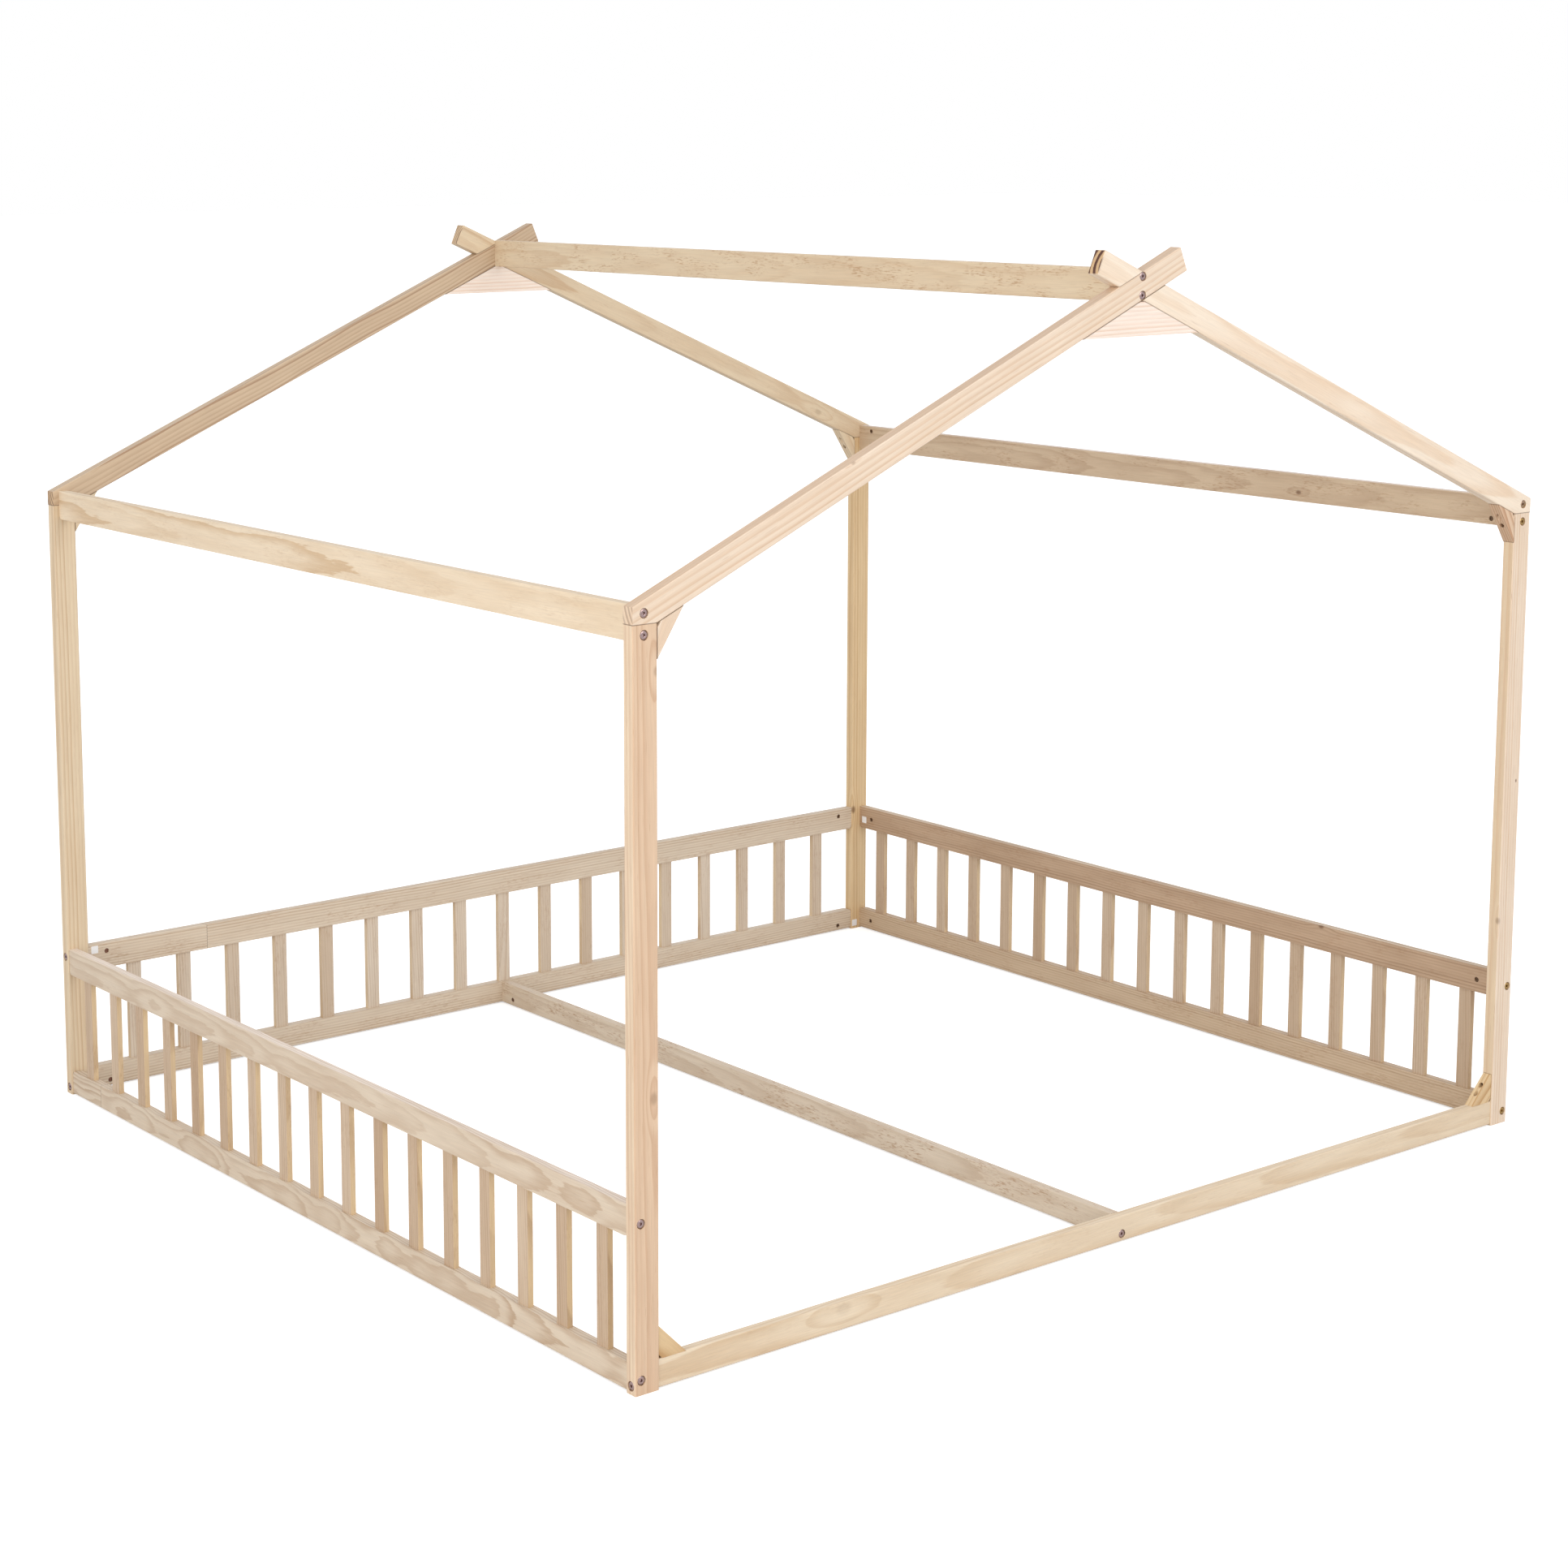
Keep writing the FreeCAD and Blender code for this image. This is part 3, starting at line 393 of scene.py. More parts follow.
# Knots: the place in metres, the size in mm, and how dark the eye is
knotsOf = {
    "post_front_left": [dict(at=(-0.997, -0.9225, 1.095), size=7, dark=0.35),
                        dict(at=(-1.004, -0.9225, 0.455), size=9, dark=0.35)],
    "post_front_right": [dict(at=(0.996, -0.9195, 0.398), size=6, dark=0.45),
                         dict(at=(1.03, -0.9225, 0.662), size=3, dark=0.8)],
    "post_back_right": [dict(at=(0.999, 0.8995, 0.287), size=8, dark=0.75)],
    "rafter_back_right": [dict(at=(0.883, 0.8995, 1.231), size=9, dark=0.22)],
    "rafter_front_left": [dict(at=(-0.62, -0.9225, 1.372), size=4, dark=0.35)],
    "eave_rail_right": [dict(at=(1.01, -0.401, 1.157), size=6, dark=0.75)],
    "right_guard_top_rail": [dict(at=(1.0195, -0.483, 0.2915), size=6, dark=0.75)],
    "front_low_rail": [dict(at=(-0.626, -0.92, 0.036), size=14, dark=0.12)],
}
# Finger joints: the place along the grain, the way across the fingers, and how far the rings jump
fingerJoints = {
    "back_guard_top_rail": [dict(at=-0.735, across=(0, 1, 0), jump=(0.031, 0.017, 0.9))],
    "left_guard_low_rail": [dict(at=0.78, across=(1, 0, 0), jump=(0.02, 0.024, 1.1))],
}

# name: way of the grain, cut, tone, seed, and what differs from the cut. The seams are planes along which a
# line of painted shade is drawn, and the sides are faces of another tone, painted light and shade, each with
# the way it faces and the tone's share.
boards = {
    "post_front_left": ("upright", "straight", "pinkish", 1,
                        dict(shadedSeams=topShadedSeam, pith=(-15, 46), ring=6, contrast=0.4,
                             sides=[((-1, 0, 0), "ivory", 0.8)])),
    "post_front_right": ("upright", "straight", "cream", 2,
                         dict(shadedSeams=topShadedSeam, ring=7, sides=[((-1, 0, 0), "honey", 0.6)])),
    "post_back_left": ("upright", "straight", "straw", 3, dict(shadedSeams=topShadedSeam)),
    "post_back_right": ("upright", "straight", "honey", 4, dict(shadedSeams=topShadedSeam)),
    "rafter_front_left": ("upRight", "straight", "cream", 5,
                          dict(shadedSeams=topShadedSeam, pith=(30, 40), sides=[((-0.39, 0, 0.92), "umber", 0.7)],
                               endShare=0.35)),
    "rafter_front_right": ("upLeft", "flat", "milk", 6,
                           dict(shadedSeams=topShadedSeam + lapShadedSeams, pith=(4, 52), ring=11, ragged=0.8, wave=11,
                                waveLength=380, flecks=0, contrast=0.5, endShare=1)),
    "rafter_back_left": ("upRight", "curved", "tan", 7,
                         dict(shadedSeams=topShadedSeam, ring=7, wave=9, waveLength=260, contrast=0.85)),
    "rafter_back_right": ("upLeft", "flat", "straw", 8,
                          dict(shadedSeams=topShadedSeam + lapShadedSeams, flecks=0.15, ragged=0.8, contrast=0.45)),
    "ridge_beam": ("alongY", "flat", "straw", 9, dict(flecks=0.6, contrast=0.3)),
    "eave_rail_left": ("alongY", "flat", "ivory", 10, dict(ring=8, ragged=3, flecks=0.15, contrast=0.5)),
    "eave_rail_right": ("alongY", "flat", "tan", 11, dict(flecks=0.5, sides=[((0, 0, 1), "blush", 0.8)])),
    "left_guard_top_rail": ("alongY", "flat", "sand", 12,
                            dict(wave=9, waveLength=170, flecks=0, sides=[((0, 0, 1), "blush", 0.7)])),
    "left_guard_low_rail": ("alongY", "flat", "sand", 13,
                            dict(wave=12, waveLength=150, flecks=0, contrast=0.7)),
    "right_guard_top_rail": ("alongY", "fine", "umber", 14,
                             dict(blotch=0.7, sides=[((0, 0, 1), "ivory", 0.8)])),
    "right_guard_low_rail": ("alongY", "fine", "tan", 15, dict(contrast=0.6)),
    "back_guard_top_rail": ("alongX", "fine", "sand", 16, {}),
    "back_guard_low_rail": ("alongX", "fine", "sand", 17, {}),
    "front_low_rail": ("alongX", "flat", "ivory", 18, dict(ring=9, flecks=0.1, ragged=1.2, contrast=0.4)),
    "centre_beam": ("alongY", "flat", "sand", 19, dict(contrast=0.35)),
    "eave_gusset_front_left": ("braceRight", "block", "cream", 20, dict(shadedSeams=leftBlockShadedSeams, contrast=0.7)),
    "eave_gusset_front_right": ("braceLeft", "block", "pinkish", 21,
                                dict(shadedSeams=rightBlockShadedSeams, ring=5, contrast=0.9,
                                     sides=[((-0.86, 0, -0.5), "umber", 0.6)])),
    "eave_gusset_back_left": ("braceRight", "block", "straw", 22, dict(shadedSeams=leftBlockShadedSeams)),
    "eave_gusset_back_right": ("braceLeft", "block", "straw", 23, dict(shadedSeams=rightBlockShadedSeams)),
    "apex_gusset_front": ("alongX", "block", "blush", 24, dict(shadedSeams=apexShadedSeams, pith=(90, 12), ring=7)),
    "apex_gusset_back": ("alongX", "block", "blush", 25, dict(shadedSeams=apexShadedSeams, pith=(90, 12), ring=7)),
    "low_gusset_left": ("footLeft", "block", "honey", 26, dict(shadedSeams=leftBlockShadedSeams, contrast=0.8)),
    "low_gusset_right": ("footRight", "block", "honey", 27, dict(shadedSeams=rightBlockShadedSeams, contrast=0.8)),
}
# name: way of the grain, tone, seed, and the sides, faces of another tone that is painted light and shade
slatRows = {
    "left_guard_slats": ("alongY", "tan", 31, [((0, -1, 0), "honey", 0.9)]),
    "right_guard_slats": ("alongY", "tan", 32, [((0, -1, 0), "honey", 0.7)]),
    "back_guard_slats": ("alongX", "sand", 33, [((-1, 0, 0), "honey", 0.7)]),
}
slat = {"count": 17, "width": 28 * mm}


def coat(name, material):
    for holder in nodes[name].material_slots:
        holder.material = material
    if not nodes[name].material_slots:
        nodes[name].data.materials.append(material)


def middle(name):
    low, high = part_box(name)
    return (low + high) / 2


for name, (way, cut, tone, seed, changes) in boards.items():
    coat(name, pineMaterial("planed_lacquered_pine_" + name, way, middle(name), cut, tone, seed,
                            knotsOf.get(name, ()), fingerJoints.get(name, ()), **changes))
for name, (way, tone, seed, sides) in slatRows.items():
    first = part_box(name)[0].dot(grainWays[way])
    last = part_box(name)[1].dot(grainWays[way])
    pitch = (last - first - slat["width"]) / (slat["count"] - 1)
    row = {"way": way, "start": first - (pitch - slat["width"]) / 2, "pitch": pitch}
    coat(name, pineMaterial("planed_lacquered_pine_" + name, "upright", middle(name), "slat", tone, seed,
                            row=row, sides=sides))
print("pine:", len(boards) + len(slatRows), "materials")


# What the fasteners' metals share: a slow change of tinge across the bed, and fine scuffs
metal = {
    "tingeSize": 0.35,
    "tingeDrift": 0.32,  # per metre towards +X, so the bolts at the right run to gold
    "tingeRange": (0.58, 0.66),
    "scuffSize": 0.8 * mm,
    "scuffRough": 0.15,
    "scuffHeight": 0.02 * mm,
    "scuffStrength": 0.12,
}
# Yellow-passivated zinc plating on steel: a thin film whose tinge runs from pink to gold
bolt = {
    "colours": ("#B9A19D", "#BC9A62"),
    "roughness": 0.17,
    "headRadius": 6.8 * mm,
    "headThick": 3 * mm,
    "headRound": 1.3 * mm,
    "headEdge": 0.2 * mm,
    "neckRound": 0.3 * mm,
    "socketRadius": 2.6 * mm,
    "socketDepth": 3.6 * mm,
    "socketTip": 0.7 * mm,
    "socketBevel": (0.5 * mm, 0.3 * mm),  # its width and depth, as for the tip's bevel
    "shankRadius": 3 * mm,
    "threadLength": 26 * mm,
    "threadPitch": 1 * mm,
    "threadDepth": 0.45 * mm,
    "tipBevel": (0.4 * mm, 0.5 * mm),
    "sides": 36,
}
# Cast zinc, left dull: a reddish grey-brown
nut = {
    "colours": ("#8F6B5A", "#7C6552"),
    "roughness": 0.38,
    "radius": 5 * mm,
    "length": 12 * mm,
    "edge": 0.6 * mm,
    "slotWidth": 1.4 * mm,
    "slotDepth": 1.3 * mm,
    "boltRadius": 3.1 * mm,
    "boltDepth": 7 * mm,
    "sides": 28,
}
# Phosphated steel, dull and dark brown
screw = {
    "colours": ("#5B463B", "#6E5140"),
    "roughness": 0.43,
    "headRadius": 4 * mm,
    "headThick": 2.5 * mm,
    "headEdge": 0.2 * mm,
    "neck": 1 * mm,
    "radius": 2 * mm,
    "crossWidth": 1 * mm,
    "crossReach": 2.3 * mm,
    "crossDepth": 1.4 * mm,
    "threadPitch": 1.8 * mm,
    "threadWidth": 0.8 * mm,
    "threadDepth": 0.6 * mm,
    "tipLength": 4 * mm,
    "sides": 20,
}


def metalMaterial(name, piece):
    first, second = (toLinear(colour) for colour in piece["colours"])
    material = newMaterial(name)
    node = functools.partial(addNode, material.node_tree)
    spots = node("ShaderNodeTexCoord").outputs["Object"]
    tinge = node("ShaderNodeTexNoise", {"Vector": spots, "Scale": 1 / metal["tingeSize"], "Detail": 1.0})
    tinge = node("ShaderNodeMath", (addReach(node, spots, (1, 0, 0)), metal["tingeDrift"], tinge),
                 operation="MULTIPLY_ADD")
    tinge = node("ShaderNodeMapRange", (tinge, *metal["tingeRange"], 0.0, 1.0))
    colour = node("ShaderNodeMix", {0: tinge, 6: first, 7: second}, data_type="RGBA").outputs[2]
    scuffs = node("ShaderNodeTexNoise", {"Vector": spots, "Scale": 1 / metal["scuffSize"], "Detail": 2.0})
    rough = node("ShaderNodeMath", (scuffs, metal["scuffRough"], piece["roughness"]),
                 operation="MULTIPLY_ADD")
    bump = node("ShaderNodeBump", {"Strength": metal["scuffStrength"], "Distance": metal["scuffHeight"],
                                   "Height": scuffs})
    shader = node("ShaderNodeBsdfPrincipled", {"Base Color": colour, "Roughness": rough, "Metallic": 1.0,
                                               "Normal": bump})
    node("ShaderNodeOutputMaterial", {"Surface": shader})
    return material


zincPlated = metalMaterial("zinc_plated_passivated_steel", bolt)
castZinc = metalMaterial("die_cast_zinc", nut)
brownSteel = metalMaterial("phosphated_steel", screw)


# The corners of each of a node's separate solids, in the order of their places
def separateSolids(name):
    probe = bmesh.new()
    probe.from_mesh(nodes[name].data)
    weld = 0.01 * mm
    bmesh.ops.remove_doubles(probe, verts=probe.verts, dist=weld)
    waiting = set(probe.verts)
    solids = []
    while waiting:
        reached = [waiting.pop()]
        corners = []
        while reached:
            vert = reached.pop()
            corners.append(vert.co.copy())
            for edge in vert.link_edges:
                other = edge.other_vert(vert)
                if other in waiting:
                    waiting.remove(other)
                    reached.append(other)
        solids.append(corners)
    probe.free()
    middles = [sum(corners, Vector()) / len(corners) for corners in solids]
    order = sorted(range(len(solids)), key=lambda number: tuple(round(c, 4) for c in middles[number]))
    return [solids[number] for number in order]


# Where a pin starts, the way it points and its length. The start is the end with the wider section.
def pinPlace(corners):
    low = Vector([min(corner[axis] for corner in corners) for axis in range(3)])
    high = Vector([max(corner[axis] for corner in corners) for axis in range(3)])
    size = high - low
    axis = max(range(3), key=lambda number: size[number])
    centre = (low + high) / 2
    spread = {}
    nearEnd = 0.1 * mm
    for end, at in ((-1, low[axis]), (1, high[axis])):
        spread[end] = max((corner - centre).length_squared - (corner - centre)[axis] ** 2
                          for corner in corners if abs(corner[axis] - at) < nearEnd)
    headEnd = 1 if spread[1] > spread[-1] else -1
    way = Vector((0, 0, 0))
    way[axis] = -headEnd
    return centre - way * size[axis] / 2, way, size[axis]


# Rings of corners joined up and closed at both ends. A row is (radius, depth, sides of its outline), with
# no sides where the outline is round.
def turned(rows, sides):
    work = bmesh.new()
    rings = []
    for radius, depth, corners in rows:
        if radius == 0:
            rings.append([work.verts.new((0, 0, depth))])
            continue
        ring = []
        for step in range(sides):
            angle = 2 * math.pi * step / sides
            reach = radius
            if corners:  # a flat-sided outline, such as a hexagon socket
                part = math.pi / corners
                reach = radius * math.cos(part) / math.cos(angle % (2 * part) - part)
            ring.append(work.verts.new((reach * math.cos(angle), reach * math.sin(angle), depth)))
        rings.append(ring)
    for first, second in zip(rings, rings[1:]):
        for step in range(sides):
            after = (step + 1) % sides
            corners = [first[step % len(first)], first[after % len(first)],
                       second[after % len(second)], second[step % len(second)]]
            work.faces.new(list(dict.fromkeys(corners)))
    bmesh.ops.recalc_face_normals(work, faces=work.faces)
    return work


def toMesh(work, name, material):
    mesh = bpy.data.meshes.new(name)
    work.to_mesh(mesh)
    work.free()
    mesh.materials.append(material)
    for face in mesh.polygons:
        face.use_smooth = True
    mesh.set_sharp_from_angle(angle=crease)
    return mesh


def addPiece(name, mesh):
    piece = bpy.data.objects.new(name, mesh)
    bpy.context.scene.collection.objects.link(piece)
    return piece


def boxAround(centre, size):
    work = bmesh.new()
    bmesh.ops.create_cube(work, size=1, matrix=Matrix.Translation(centre) @ Matrix.Diagonal((*size, 1)))
    return work


# Cuts tools out of a mesh
def carve(mesh, cutters):
    piece = addPiece("carved", mesh)
    helpers = []
    for number, work in enumerate(cutters):
        tool = bpy.data.meshes.new("cutter")
        work.to_mesh(tool)
        work.free()
        helpers.append(addPiece(f"cutter{number}", tool))
        cut = piece.modifiers.new("cut", "BOOLEAN")
        cut.operation = "DIFFERENCE"
        cut.solver = "EXACT"
        cut.object = helpers[-1]
    bpy.context.view_layer.update()
    result = bpy.data.meshes.new_from_object(piece.evaluated_get(bpy.context.evaluated_depsgraph_get()))
    for helper in [piece, *helpers]:
        bpy.data.objects.remove(helper)
    for face in result.polygons:
        face.use_smooth = True
    result.set_sharp_from_angle(angle=crease)
    return result


# Rows of a rounded rim, from the flat of the head out and round to its side
def roundRim(radius, width, height):
    rows = []
    for step in range(1, quarterSteps + 1):
        angle = math.pi / 2 * step / quarterSteps
        rows.append((radius - width * (1 - math.sin(angle)), height * (1 - math.cos(angle)), 0))
    return rows


def boltMesh(length, name):
    head, shank, socket = bolt["headRadius"], bolt["shankRadius"], bolt["socketRadius"]
    thick, edge, neck = bolt["headThick"], bolt["headEdge"], bolt["neckRound"]
    bottom, pitch = bolt["socketDepth"], bolt["threadPitch"]
    rimWidth = 2 * bolt["headRound"]
    bevelWidth, bevelDepth = bolt["socketBevel"]
    # The socket comes first, with a small bevel at its bottom and a wider one around its mouth
    rows = [(0, bottom + bolt["socketTip"], 0), (0.8 * socket, bottom, 6), (socket, bottom - 0.1 * mm, 6),
            (socket, bevelDepth, 6), (socket + bevelWidth, 0.02 * mm, 0), (head - rimWidth, 0, 0)]
    rows += roundRim(head, rimWidth, bolt["headRound"])
    rows += [(head, thick - edge, 0), (head - edge, thick, 0), (shank + neck, thick, 0),
             (shank, thick + neck, 0)]
    depth = length - bolt["threadLength"]
    root = shank - bolt["threadDepth"]
    rows.append((shank, depth, 0))
    while depth < length - 1.6 * pitch:  # thread, as one ridge per turn
        rows += [(root, depth + 0.4 * pitch, 0), (shank, depth + 0.9 * pitch, 0)]
        depth += pitch
    tipWidth, tipLength = bolt["tipBevel"]
    rows += [(root, length - tipLength, 0), (root - tipWidth, length, 0), (0, length, 0)]
    return toMesh(turned(rows, bolt["sides"]), name, zincPlated)


# The cutters reach well past the nut's faces
def nutMesh(name):
    radius, length, edge = nut["radius"], nut["length"], nut["edge"]
    rows = [(0, 0, 0), (radius - edge, 0, 0), (radius, edge, 0), (radius, length - edge, 0),
            (radius - edge, length, 0), (0, length, 0)]
    slot = boxAround((0, 0, 0), (4 * radius, nut["slotWidth"], 2 * nut["slotDepth"]))
    hole = turned([(0, -2 * radius, 0), (nut["boltRadius"], -2 * radius, 0),
                   (nut["boltRadius"], 2 * radius, 0), (0, 2 * radius, 0)], nut["sides"])
    bmesh.ops.transform(hole, matrix=Matrix.Translation((0, 0, nut["boltDepth"]))
                        @ Matrix.Rotation(math.pi / 2, 4, "Y"), verts=hole.verts)
    return carve(toMesh(turned(rows, nut["sides"]), name, castZinc), [slot, hole])


def screwMesh(length, name):
    head, thick, edge = screw["headRadius"], screw["headThick"], screw["headEdge"]
    crest, root = screw["radius"], screw["radius"] - screw["threadDepth"]
    rows = [(0, 0, 0), *roundRim(head, head, thick / 2)]  # a pan head
    rows += [(head, thick - edge, 0), (head - edge, thick, 0), (root, thick, 0)]
    depth = thick + screw["neck"]
    while depth < length - screw["tipLength"]:
        rows += [(root, depth, 0), (crest, depth + screw["threadWidth"] / 2, 0),
                 (root, depth + screw["threadWidth"], 0)]
        depth += screw["threadPitch"]
    rows += [(root, length - screw["tipLength"], 0), (0, length, 0)]
    arms = [boxAround((0, 0, 0), (2 * screw["crossReach"], screw["crossWidth"], 2 * screw["crossDepth"])),
            boxAround((0, 0, 0), (screw["crossWidth"], 2 * screw["crossReach"], 2 * screw["crossDepth"]))]
    return carve(toMesh(turned(rows, screw["sides"]), name, brownSteel), arms)


# One piece of many copies of a mesh, in place of a CAD node
def replaceGroup(name, mesh, places):
    group = bmesh.new()
    for matrix in places:
        start = len(group.verts)
        group.from_mesh(mesh)
        group.verts.ensure_lookup_table()
        bmesh.ops.transform(group, matrix=matrix, verts=group.verts[start:])
    whole = bpy.data.meshes.new(name + "_detailed")
    group.to_mesh(whole)
    group.free()
    whole.materials.append(mesh.materials[0])
    whole.set_sharp_from_angle(angle=crease)
    piece = addPiece(name + "_detailed", whole)
    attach(piece, "root")
    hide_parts(name)


# Turns a mesh's z along a way, and its x sideways
def placeMatrix(start, way, sideways=None):
    if sideways is None:
        sideways = Vector((0, 0, 1)) if abs(way.z) < 0.5 else Vector((1, 0, 0))
    turn = Matrix((sideways, way.cross(sideways), way)).transposed()
    return Matrix.Translation(start) @ turn.to_4x4()


# Puts detailed bolts or screws where a node has plain pins of one length
def replacePins(name, makeMesh):
    pins = [pinPlace(corners) for corners in separateSolids(name)]
    places = [placeMatrix(start, way) for start, way, length in pins]
    replaceGroup(name, makeMesh(pins[0][2], name), places)


for name in ("guard_bolts", "eave_bolts", "ridge_bolts", "front_rail_bolts", "back_rail_bolts",
             "beam_bolts"):
    replacePins(name, boltMesh)

# A barrel nut's slot lies along its bolt, at the end that its hole leaves open
nutOpenings = {"guard_barrel_nuts": "inwards", "eave_barrel_nuts": "inwards",
               "ridge_barrel_nuts": "outwards", "front_rail_barrel_nuts": "inwards",
               "back_rail_barrel_nuts": "inwards", "beam_barrel_nuts": "outwards"}
barrel = nutMesh("barrel")
for name, opening in nutOpenings.items():
    places = []
    for corners in separateSolids(name):
        start, way, length = pinPlace(corners)
        centre = start + way * length / 2
        outwards = way * (1 if centre.dot(way) > 0 else -1)
        inward = -outwards if opening == "outwards" else outwards
        boltWay = Vector((0, 1, 0)) if abs(way.x) > 0.5 else Vector((1, 0, 0))
        places.append(placeMatrix(centre - inward * length / 2, inward, boltWay))
    replaceGroup(name, barrel, places)

for name in ("eave_gusset_screws", "low_gusset_screws", "apex_gusset_screws"):
    replacePins(name, screwMesh)

# Dowels in the ends of the centre beam: beech, turned smooth and left bare, so even and fine-grained
coat("beam_dowels", pineMaterial("turned_bare_beech", "alongY", middle("beam_dowels"), "fine", "tan", 40,
                                 ring=2))
print("fasteners placed")


# White self-adhesive paper, cut square. The lettering that marks the parts for assembly is left out.
label = {
    "side": 15 * mm,
    "corner": 1.2 * mm,
    "thick": 0.15 * mm,
    "colours": ("#F3F3F1", "#E9E8E4"),
    "roughness": 0.75,
    "pulpSize": 1.5 * mm,
    "pulpHeight": 0.03 * mm,
    "pulpStrength": 0.1,
}
# The middle of each label's back, and the way the label faces
labelPlaces = {
    "label_right_guard": ((1.0195, 0.884, 0.263), Vector((-1, 0, 0))),
    "label_back_post": ((1.0045, 0.8995, 0.0135), Vector((0, -1, 0))),
    "label_back_guard": ((-0.981, 0.902, 0.2825), Vector((0, -1, 0))),
}


def paperMaterial():
    material = newMaterial("pressed_label_paper")
    node = functools.partial(addNode, material.node_tree)
    first, second = (toLinear(colour) for colour in label["colours"])
    spots = node("ShaderNodeTexCoord").outputs["Object"]
    pulp = node("ShaderNodeTexNoise", {"Vector": spots, "Scale": 1 / label["pulpSize"], "Detail": 3.0})
    colour = node("ShaderNodeMix", {0: pulp, 6: first, 7: second}, data_type="RGBA").outputs[2]
    bump = node("ShaderNodeBump", {"Strength": label["pulpStrength"], "Distance": label["pulpHeight"],
                                   "Height": pulp})
    shader = node("ShaderNodeBsdfPrincipled", {"Base Color": colour, "Roughness": label["roughness"],
                                               "Normal": bump})
    node("ShaderNodeOutputMaterial", {"Surface": shader})
    return material


def addLabel(name, spot, facing, material):
    work = bmesh.new()
    half, corner = label["side"] / 2, label["corner"]
    outline = []
    for quarter in range(4):  # one round corner each
        turn = math.pi / 2 * quarter
        cornerX = (half - corner) * (1 if quarter in (0, 3) else -1)
        cornerY = (half - corner) * (1 if quarter in (0, 1) else -1)
        for step in range(quarterSteps + 1):
            angle = turn + math.pi / 2 * step / quarterSteps
            outline.append((cornerX + corner * math.cos(angle), cornerY + corner * math.sin(angle)))
    back, front = ([work.verts.new((x, y, depth)) for x, y in outline] for depth in (0, label["thick"]))
    work.faces.new(back)
    work.faces.new(front)
    for step in range(len(outline)):
        work.faces.new([back[step - 1], back[step], front[step], front[step - 1]])
    bmesh.ops.recalc_face_normals(work, faces=work.faces)
    bmesh.ops.transform(work, matrix=placeMatrix(Vector(spot), facing), verts=work.verts)
    piece = addPiece(name, toMesh(work, name, material))
    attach(piece, "root")


paper = paperMaterial()
for name, (spot, facing) in labelPlaces.items():
    addLabel(name, spot, facing, paper)
print("labels placed")


# Pale matt paint, put on with a roller: even, with no reflections. It glows a little as the camera sees
# it, so that it runs into the white behind it, as in the photograph.
studio = {
    "floor": "#D9D8D6",
    "floorGlow": (0.0, 0.6),  # for the light it gives back, and as the camera sees it
    "floorSide": 120,
    "floorDrop": 0.2 * mm,
    "rollerSize": 25 * mm,
    "floorRoughness": (0.8, 0.1),  # the least, and what the roller adds at most
    "sky": "#F4F7FF",
    "skyStrength": (0.98, 0.9),  # at the horizon and overhead
    "skyRise": 0.8,
    "key": dict(spot=(0.6, -7.0, 4.2), target=(0, 0, 1.8), side=4.0, power=140, colour="#FFF8F4"),
    "fill": dict(spot=(-6.0, -2.5, 2.4), target=(-0.4, 0, 0.6), side=3.5, power=130, colour="#FFF6EE"),
}


def addFloor():
    work = bmesh.new()
    half = studio["floorSide"] / 2
    work.faces.new([work.verts.new((x * half, y * half, -studio["floorDrop"]))
                    for x, y in ((-1, -1), (1, -1), (1, 1), (-1, 1))])
    material = newMaterial("rolled_matt_floor_paint")
    node = functools.partial(addNode, material.node_tree)
    spots = node("ShaderNodeTexCoord").outputs["Object"]
    roller = node("ShaderNodeTexNoise", {"Vector": spots, "Scale": 1 / studio["rollerSize"], "Detail": 2.0})
    least, more = studio["floorRoughness"]
    rough = node("ShaderNodeMath", (roller, more, least), operation="MULTIPLY_ADD")
    ray = node("ShaderNodeLightPath").outputs["Is Camera Ray"]
    glow = node("ShaderNodeMapRange", (ray, 0.0, 1.0, *studio["floorGlow"]))
    shader = node("ShaderNodeBsdfPrincipled", {
        "Base Color": toLinear(studio["floor"]), "Roughness": rough,
        "Emission Color": (1, 1, 1, 1), "Emission Strength": glow})
    node("ShaderNodeOutputMaterial", {"Surface": shader})
    addPiece("studio_floor", toMesh(work, "studio_floor", material))


def addLight(name, light):
    lamp = bpy.data.lights.new(name, "AREA")
    lamp.shape = "SQUARE"
    lamp.size = light["side"]
    lamp.energy = light["power"]
    lamp.color = toLinear(light["colour"])[:3]
    holder = bpy.data.objects.new(name, lamp)
    holder.location = light["spot"]
    holder.rotation_euler = (Vector(light["target"]) - holder.location).to_track_quat("-Z", "Y").to_euler()
    bpy.context.scene.collection.objects.link(holder)


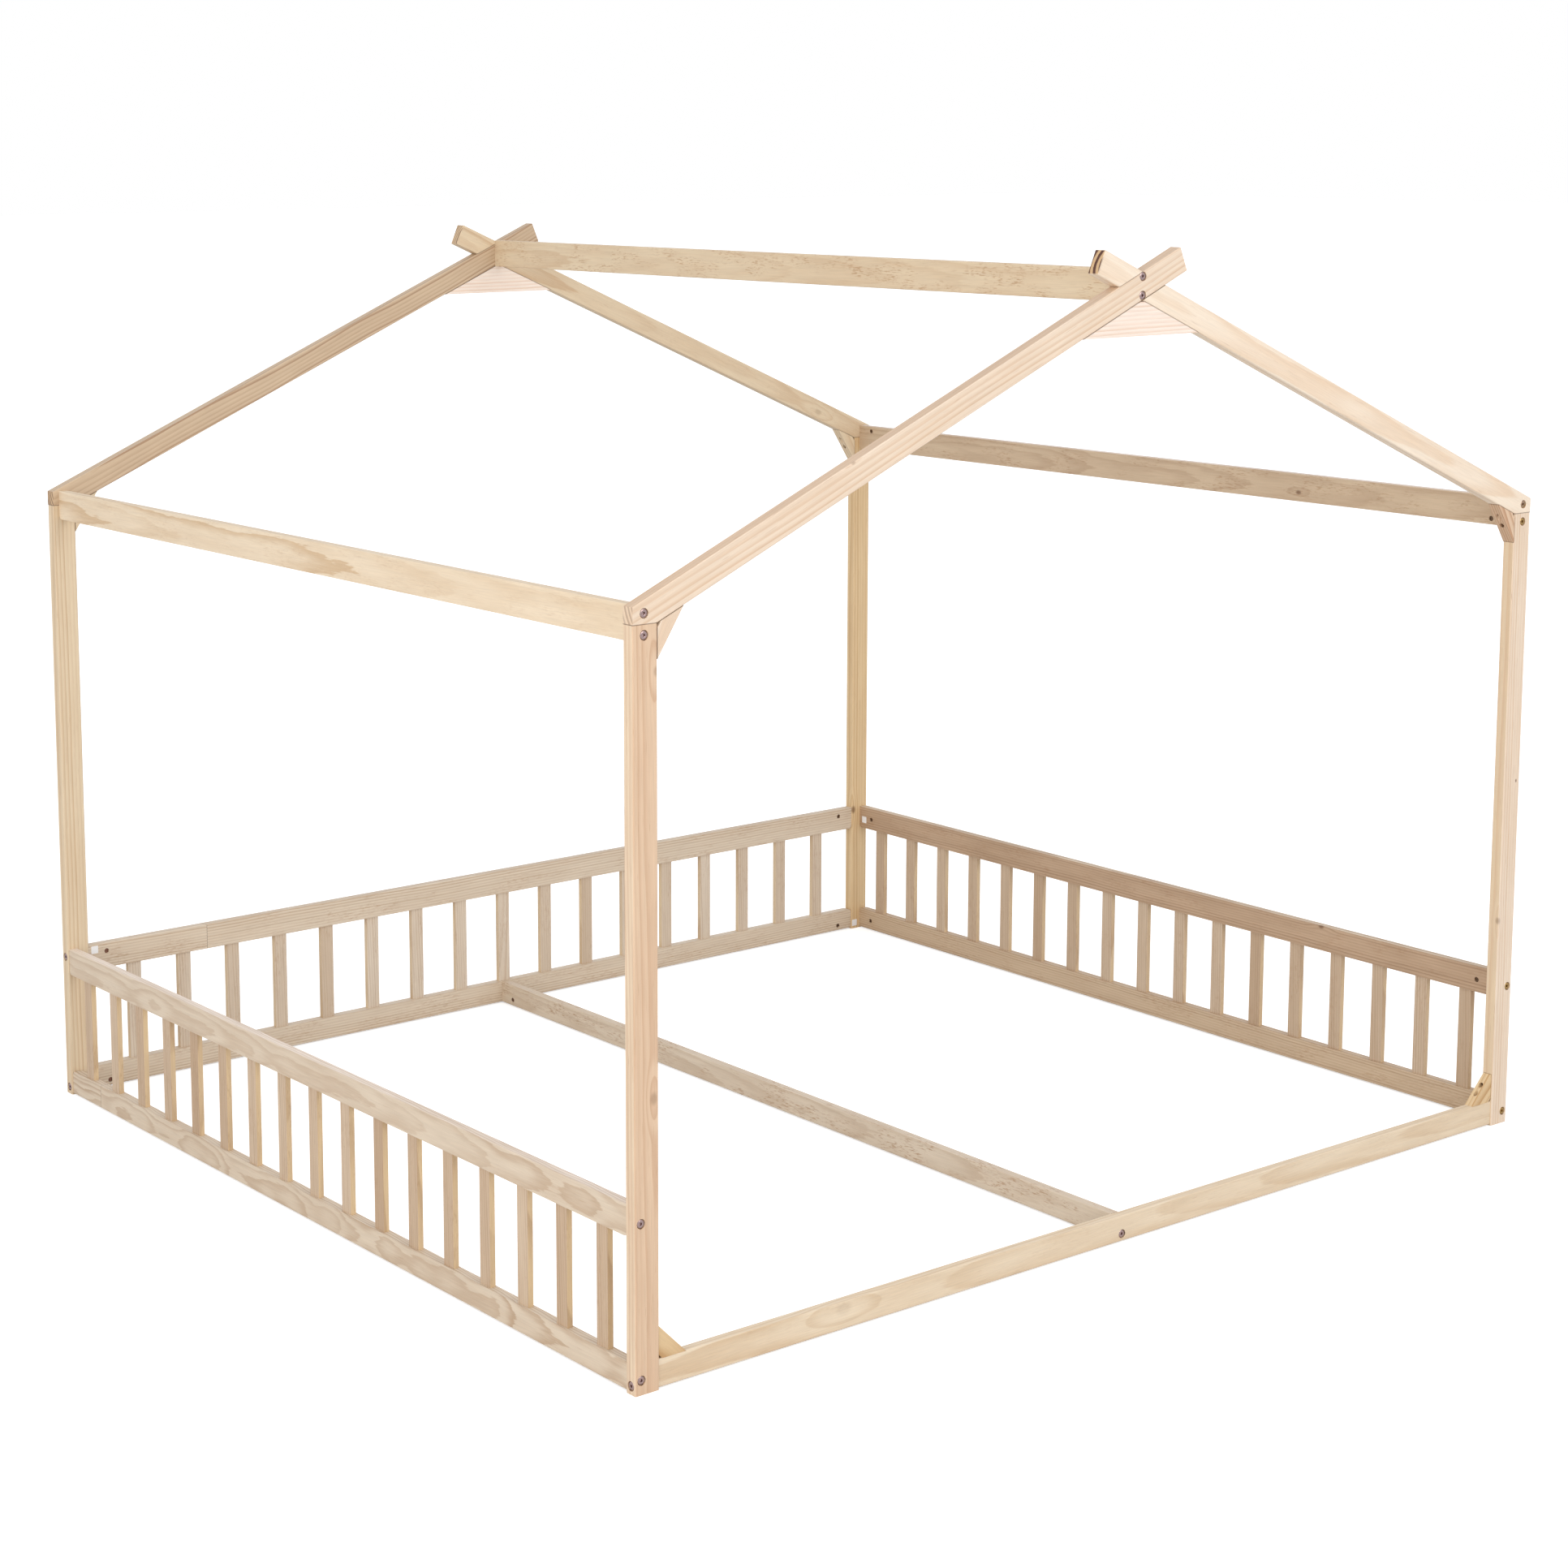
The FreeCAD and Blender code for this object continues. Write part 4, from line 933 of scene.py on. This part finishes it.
def addSky():
    world = bpy.data.worlds.new("studio_sky")
    world.use_nodes = True
    world.node_tree.nodes.clear()
    node = functools.partial(addNode, world.node_tree)
    height = node("ShaderNodeVectorMath", (node("ShaderNodeTexCoord"), (0, 0, 1)), operation="DOT_PRODUCT")
    strength = node("ShaderNodeMapRange", (height.outputs["Value"], 0.0, studio["skyRise"],
                                           *studio["skyStrength"]))
    sky = node("ShaderNodeBackground", {"Color": toLinear(studio["sky"]), "Strength": strength})
    seen = node("ShaderNodeBackground", {"Color": (1, 1, 1, 1), "Strength": 1.0})
    ray = node("ShaderNodeLightPath").outputs["Is Camera Ray"]
    both = node("ShaderNodeMixShader", (ray, sky, seen))
    node("ShaderNodeOutputWorld", {"Surface": both})
    bpy.context.scene.world = world


addFloor()
addSky()
addLight("key_softbox", studio["key"])
addLight("fill_softbox", studio["fill"])
bpy.context.scene.view_settings.view_transform = "Standard"

# The photograph's viewpoint, worked out from the bed's corners in it
viewpoint = {
    "spot": (-3.643, -4.339, 1.868),
    "heading": 37.022,  # degrees from +Y towards +X
    "lift": -8.569,
    "roll": -0.270,
    "lens": 69.66,  # mm, as is the sensor's width
    "sensor": 36,
    "shift": (0.1061, -0.1249),
}


def addCamera():
    heading, lift, roll = (math.radians(viewpoint[key]) for key in ("heading", "lift", "roll"))
    ahead = Vector((math.sin(heading) * math.cos(lift), math.cos(heading) * math.cos(lift), math.sin(lift)))
    right = Vector((math.cos(heading), -math.sin(heading), 0))
    up = right.cross(ahead)
    across = math.cos(roll) * right + math.sin(roll) * up
    upright = -math.sin(roll) * right + math.cos(roll) * up
    camera = bpy.data.cameras.new("photo_view")
    camera.lens = viewpoint["lens"]
    camera.sensor_width = viewpoint["sensor"]
    camera.shift_x, camera.shift_y = viewpoint["shift"]
    holder = bpy.data.objects.new("photo_view", camera)
    holder.matrix_world = (Matrix.Translation(viewpoint["spot"])
                           @ Matrix((across, upright, -ahead)).transposed().to_4x4())
    bpy.context.scene.collection.objects.link(holder)
    bpy.context.scene.camera = holder


addCamera()
print("studio ready")
